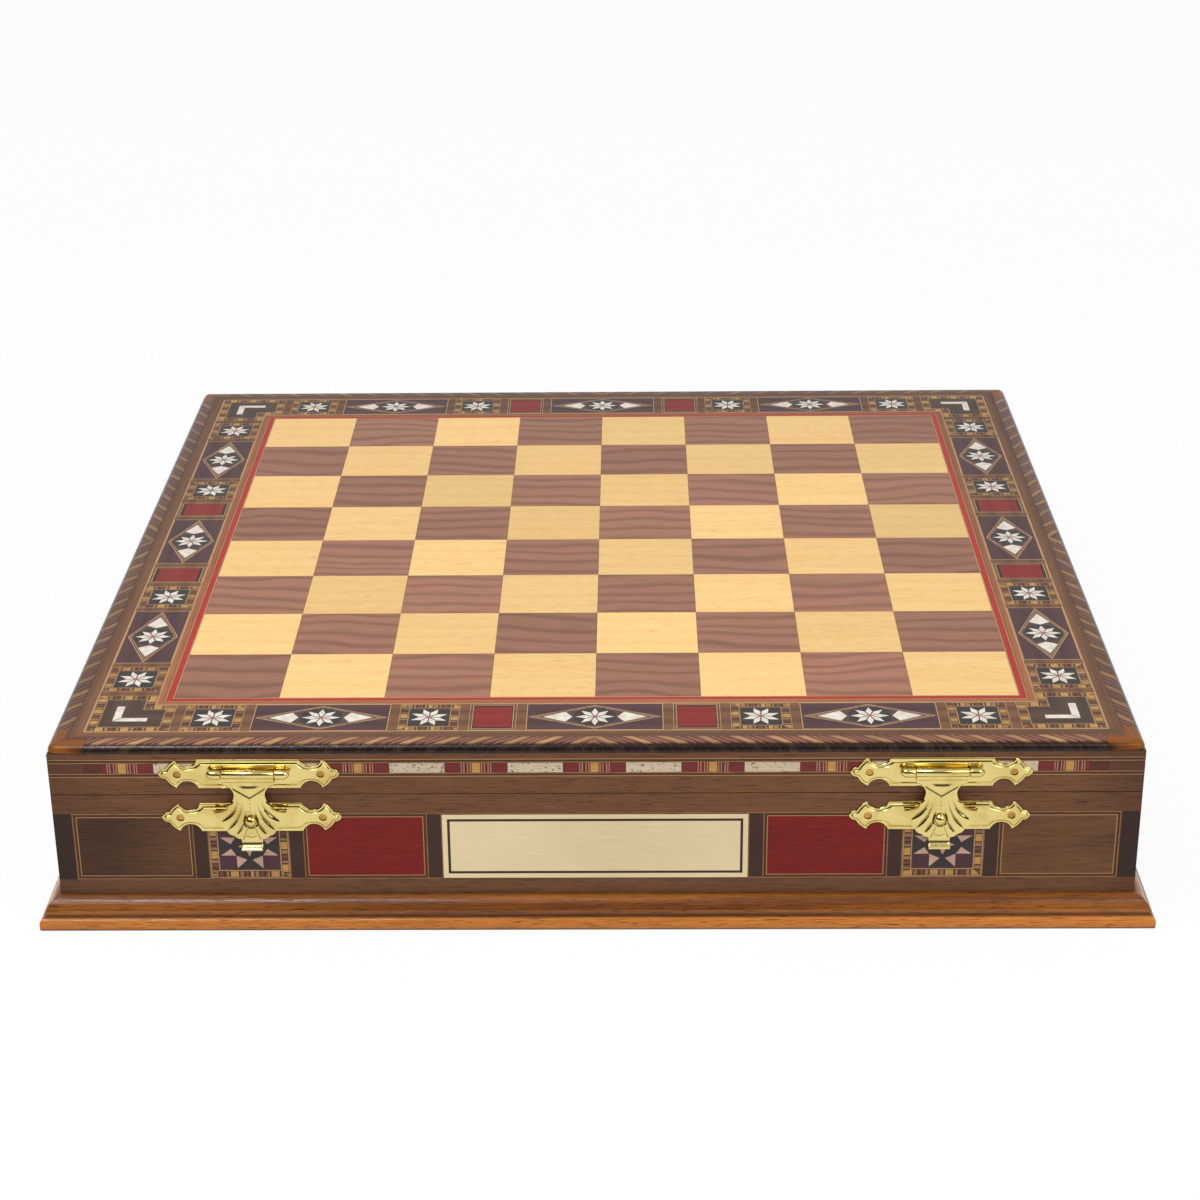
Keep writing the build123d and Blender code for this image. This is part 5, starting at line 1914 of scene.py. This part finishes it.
def addLamp(name, power, size, place, target):
    lamp = bpy.data.lights.new(name, "AREA")
    lamp.energy = power
    lamp.shape = "RECTANGLE"
    lamp.size, lamp.size_y = size
    holder = bpy.data.objects.new(name, lamp)
    bpy.context.scene.collection.objects.link(holder)
    holder.location = place
    holder.rotation_euler = (Vector(target) - Vector(place)).to_track_quat("-Z", "Y").to_euler()


# white all round to the camera; to the pieces it is dark behind the camera, below the band's top
def buildWorld():
    world = bpy.data.worlds.new("studio")
    bpy.context.scene.world = world
    world.use_nodes = True
    tree = world.node_tree
    back = tree.nodes["Background"]
    back.inputs["Color"].default_value = (1.0, 1.0, 1.0, 1.0)
    direction = Wire(tree, tree.nodes.new("ShaderNodeTexCoord").outputs["Generated"])
    x, y, z = partsOf(tree, direction)
    lean = y + x * stageSettings["aheadLean"]
    ahead = fade(tree, lean, stageSettings["aheadFrom"], stageSettings["aheadTo"])
    top = stageSettings["bandTop"]
    height = fade(tree, z, top, top - stageSettings["bandSoft"])
    shade = ahead * height * (1 - stageSettings["bandLevel"]) * -1 + 1
    seen = Wire(tree, tree.nodes.new("ShaderNodeLightPath").outputs["Is Camera Ray"])
    plug(back.inputs["Strength"], choose(seen, shade * stageSettings["worldStrength"], 1.0))


# the camera as fitted to the board's grid corners, in the photograph's own pixels
photo = {
    "width": 1200.0,
    "focal": 2628.4,
    "middle": (585.8, 700.3),
    "place": (0.0132, -1.0603, 0.4988),
    "pitch": 0.4422,
    "yaw": 0.0187,
    "roll": -0.0117,
}


def buildCamera():
    lens = bpy.data.cameras.new("photoCamera")
    lens.sensor_width = 36.0
    lens.lens = lens.sensor_width * photo["focal"] / photo["width"]
    lens.shift_x = 0.5 - photo["middle"][0] / photo["width"]
    lens.shift_y = photo["middle"][1] / photo["width"] - 0.5
    lens.clip_start = 0.01
    lens.clip_end = 50.0
    camera = bpy.data.objects.new("photoCamera", lens)
    bpy.context.scene.collection.objects.link(camera)
    yaw, pitch, roll = photo["yaw"], photo["pitch"], photo["roll"]
    level = Vector((cos(yaw), sin(yaw), 0))
    ahead = Vector((-sin(yaw), cos(yaw), 0))
    forward = ahead * cos(pitch) - Vector((0, 0, sin(pitch)))
    rise = ahead * sin(pitch) + Vector((0, 0, cos(pitch)))
    right = level * cos(roll) + rise * sin(roll)
    up = rise * cos(roll) - level * sin(roll)
    turned = Matrix((right, up, -forward)).transposed().to_4x4()
    camera.matrix_world = Matrix.Translation(photo["place"]) @ turned
    bpy.context.scene.camera = camera


buildFloor()
buildWorld()
for name, settings in lamps.items():
    addLamp(name, **settings)
buildCamera()
bpy.context.scene.view_settings.view_transform = "Standard"
print("stage, lamps and camera set")
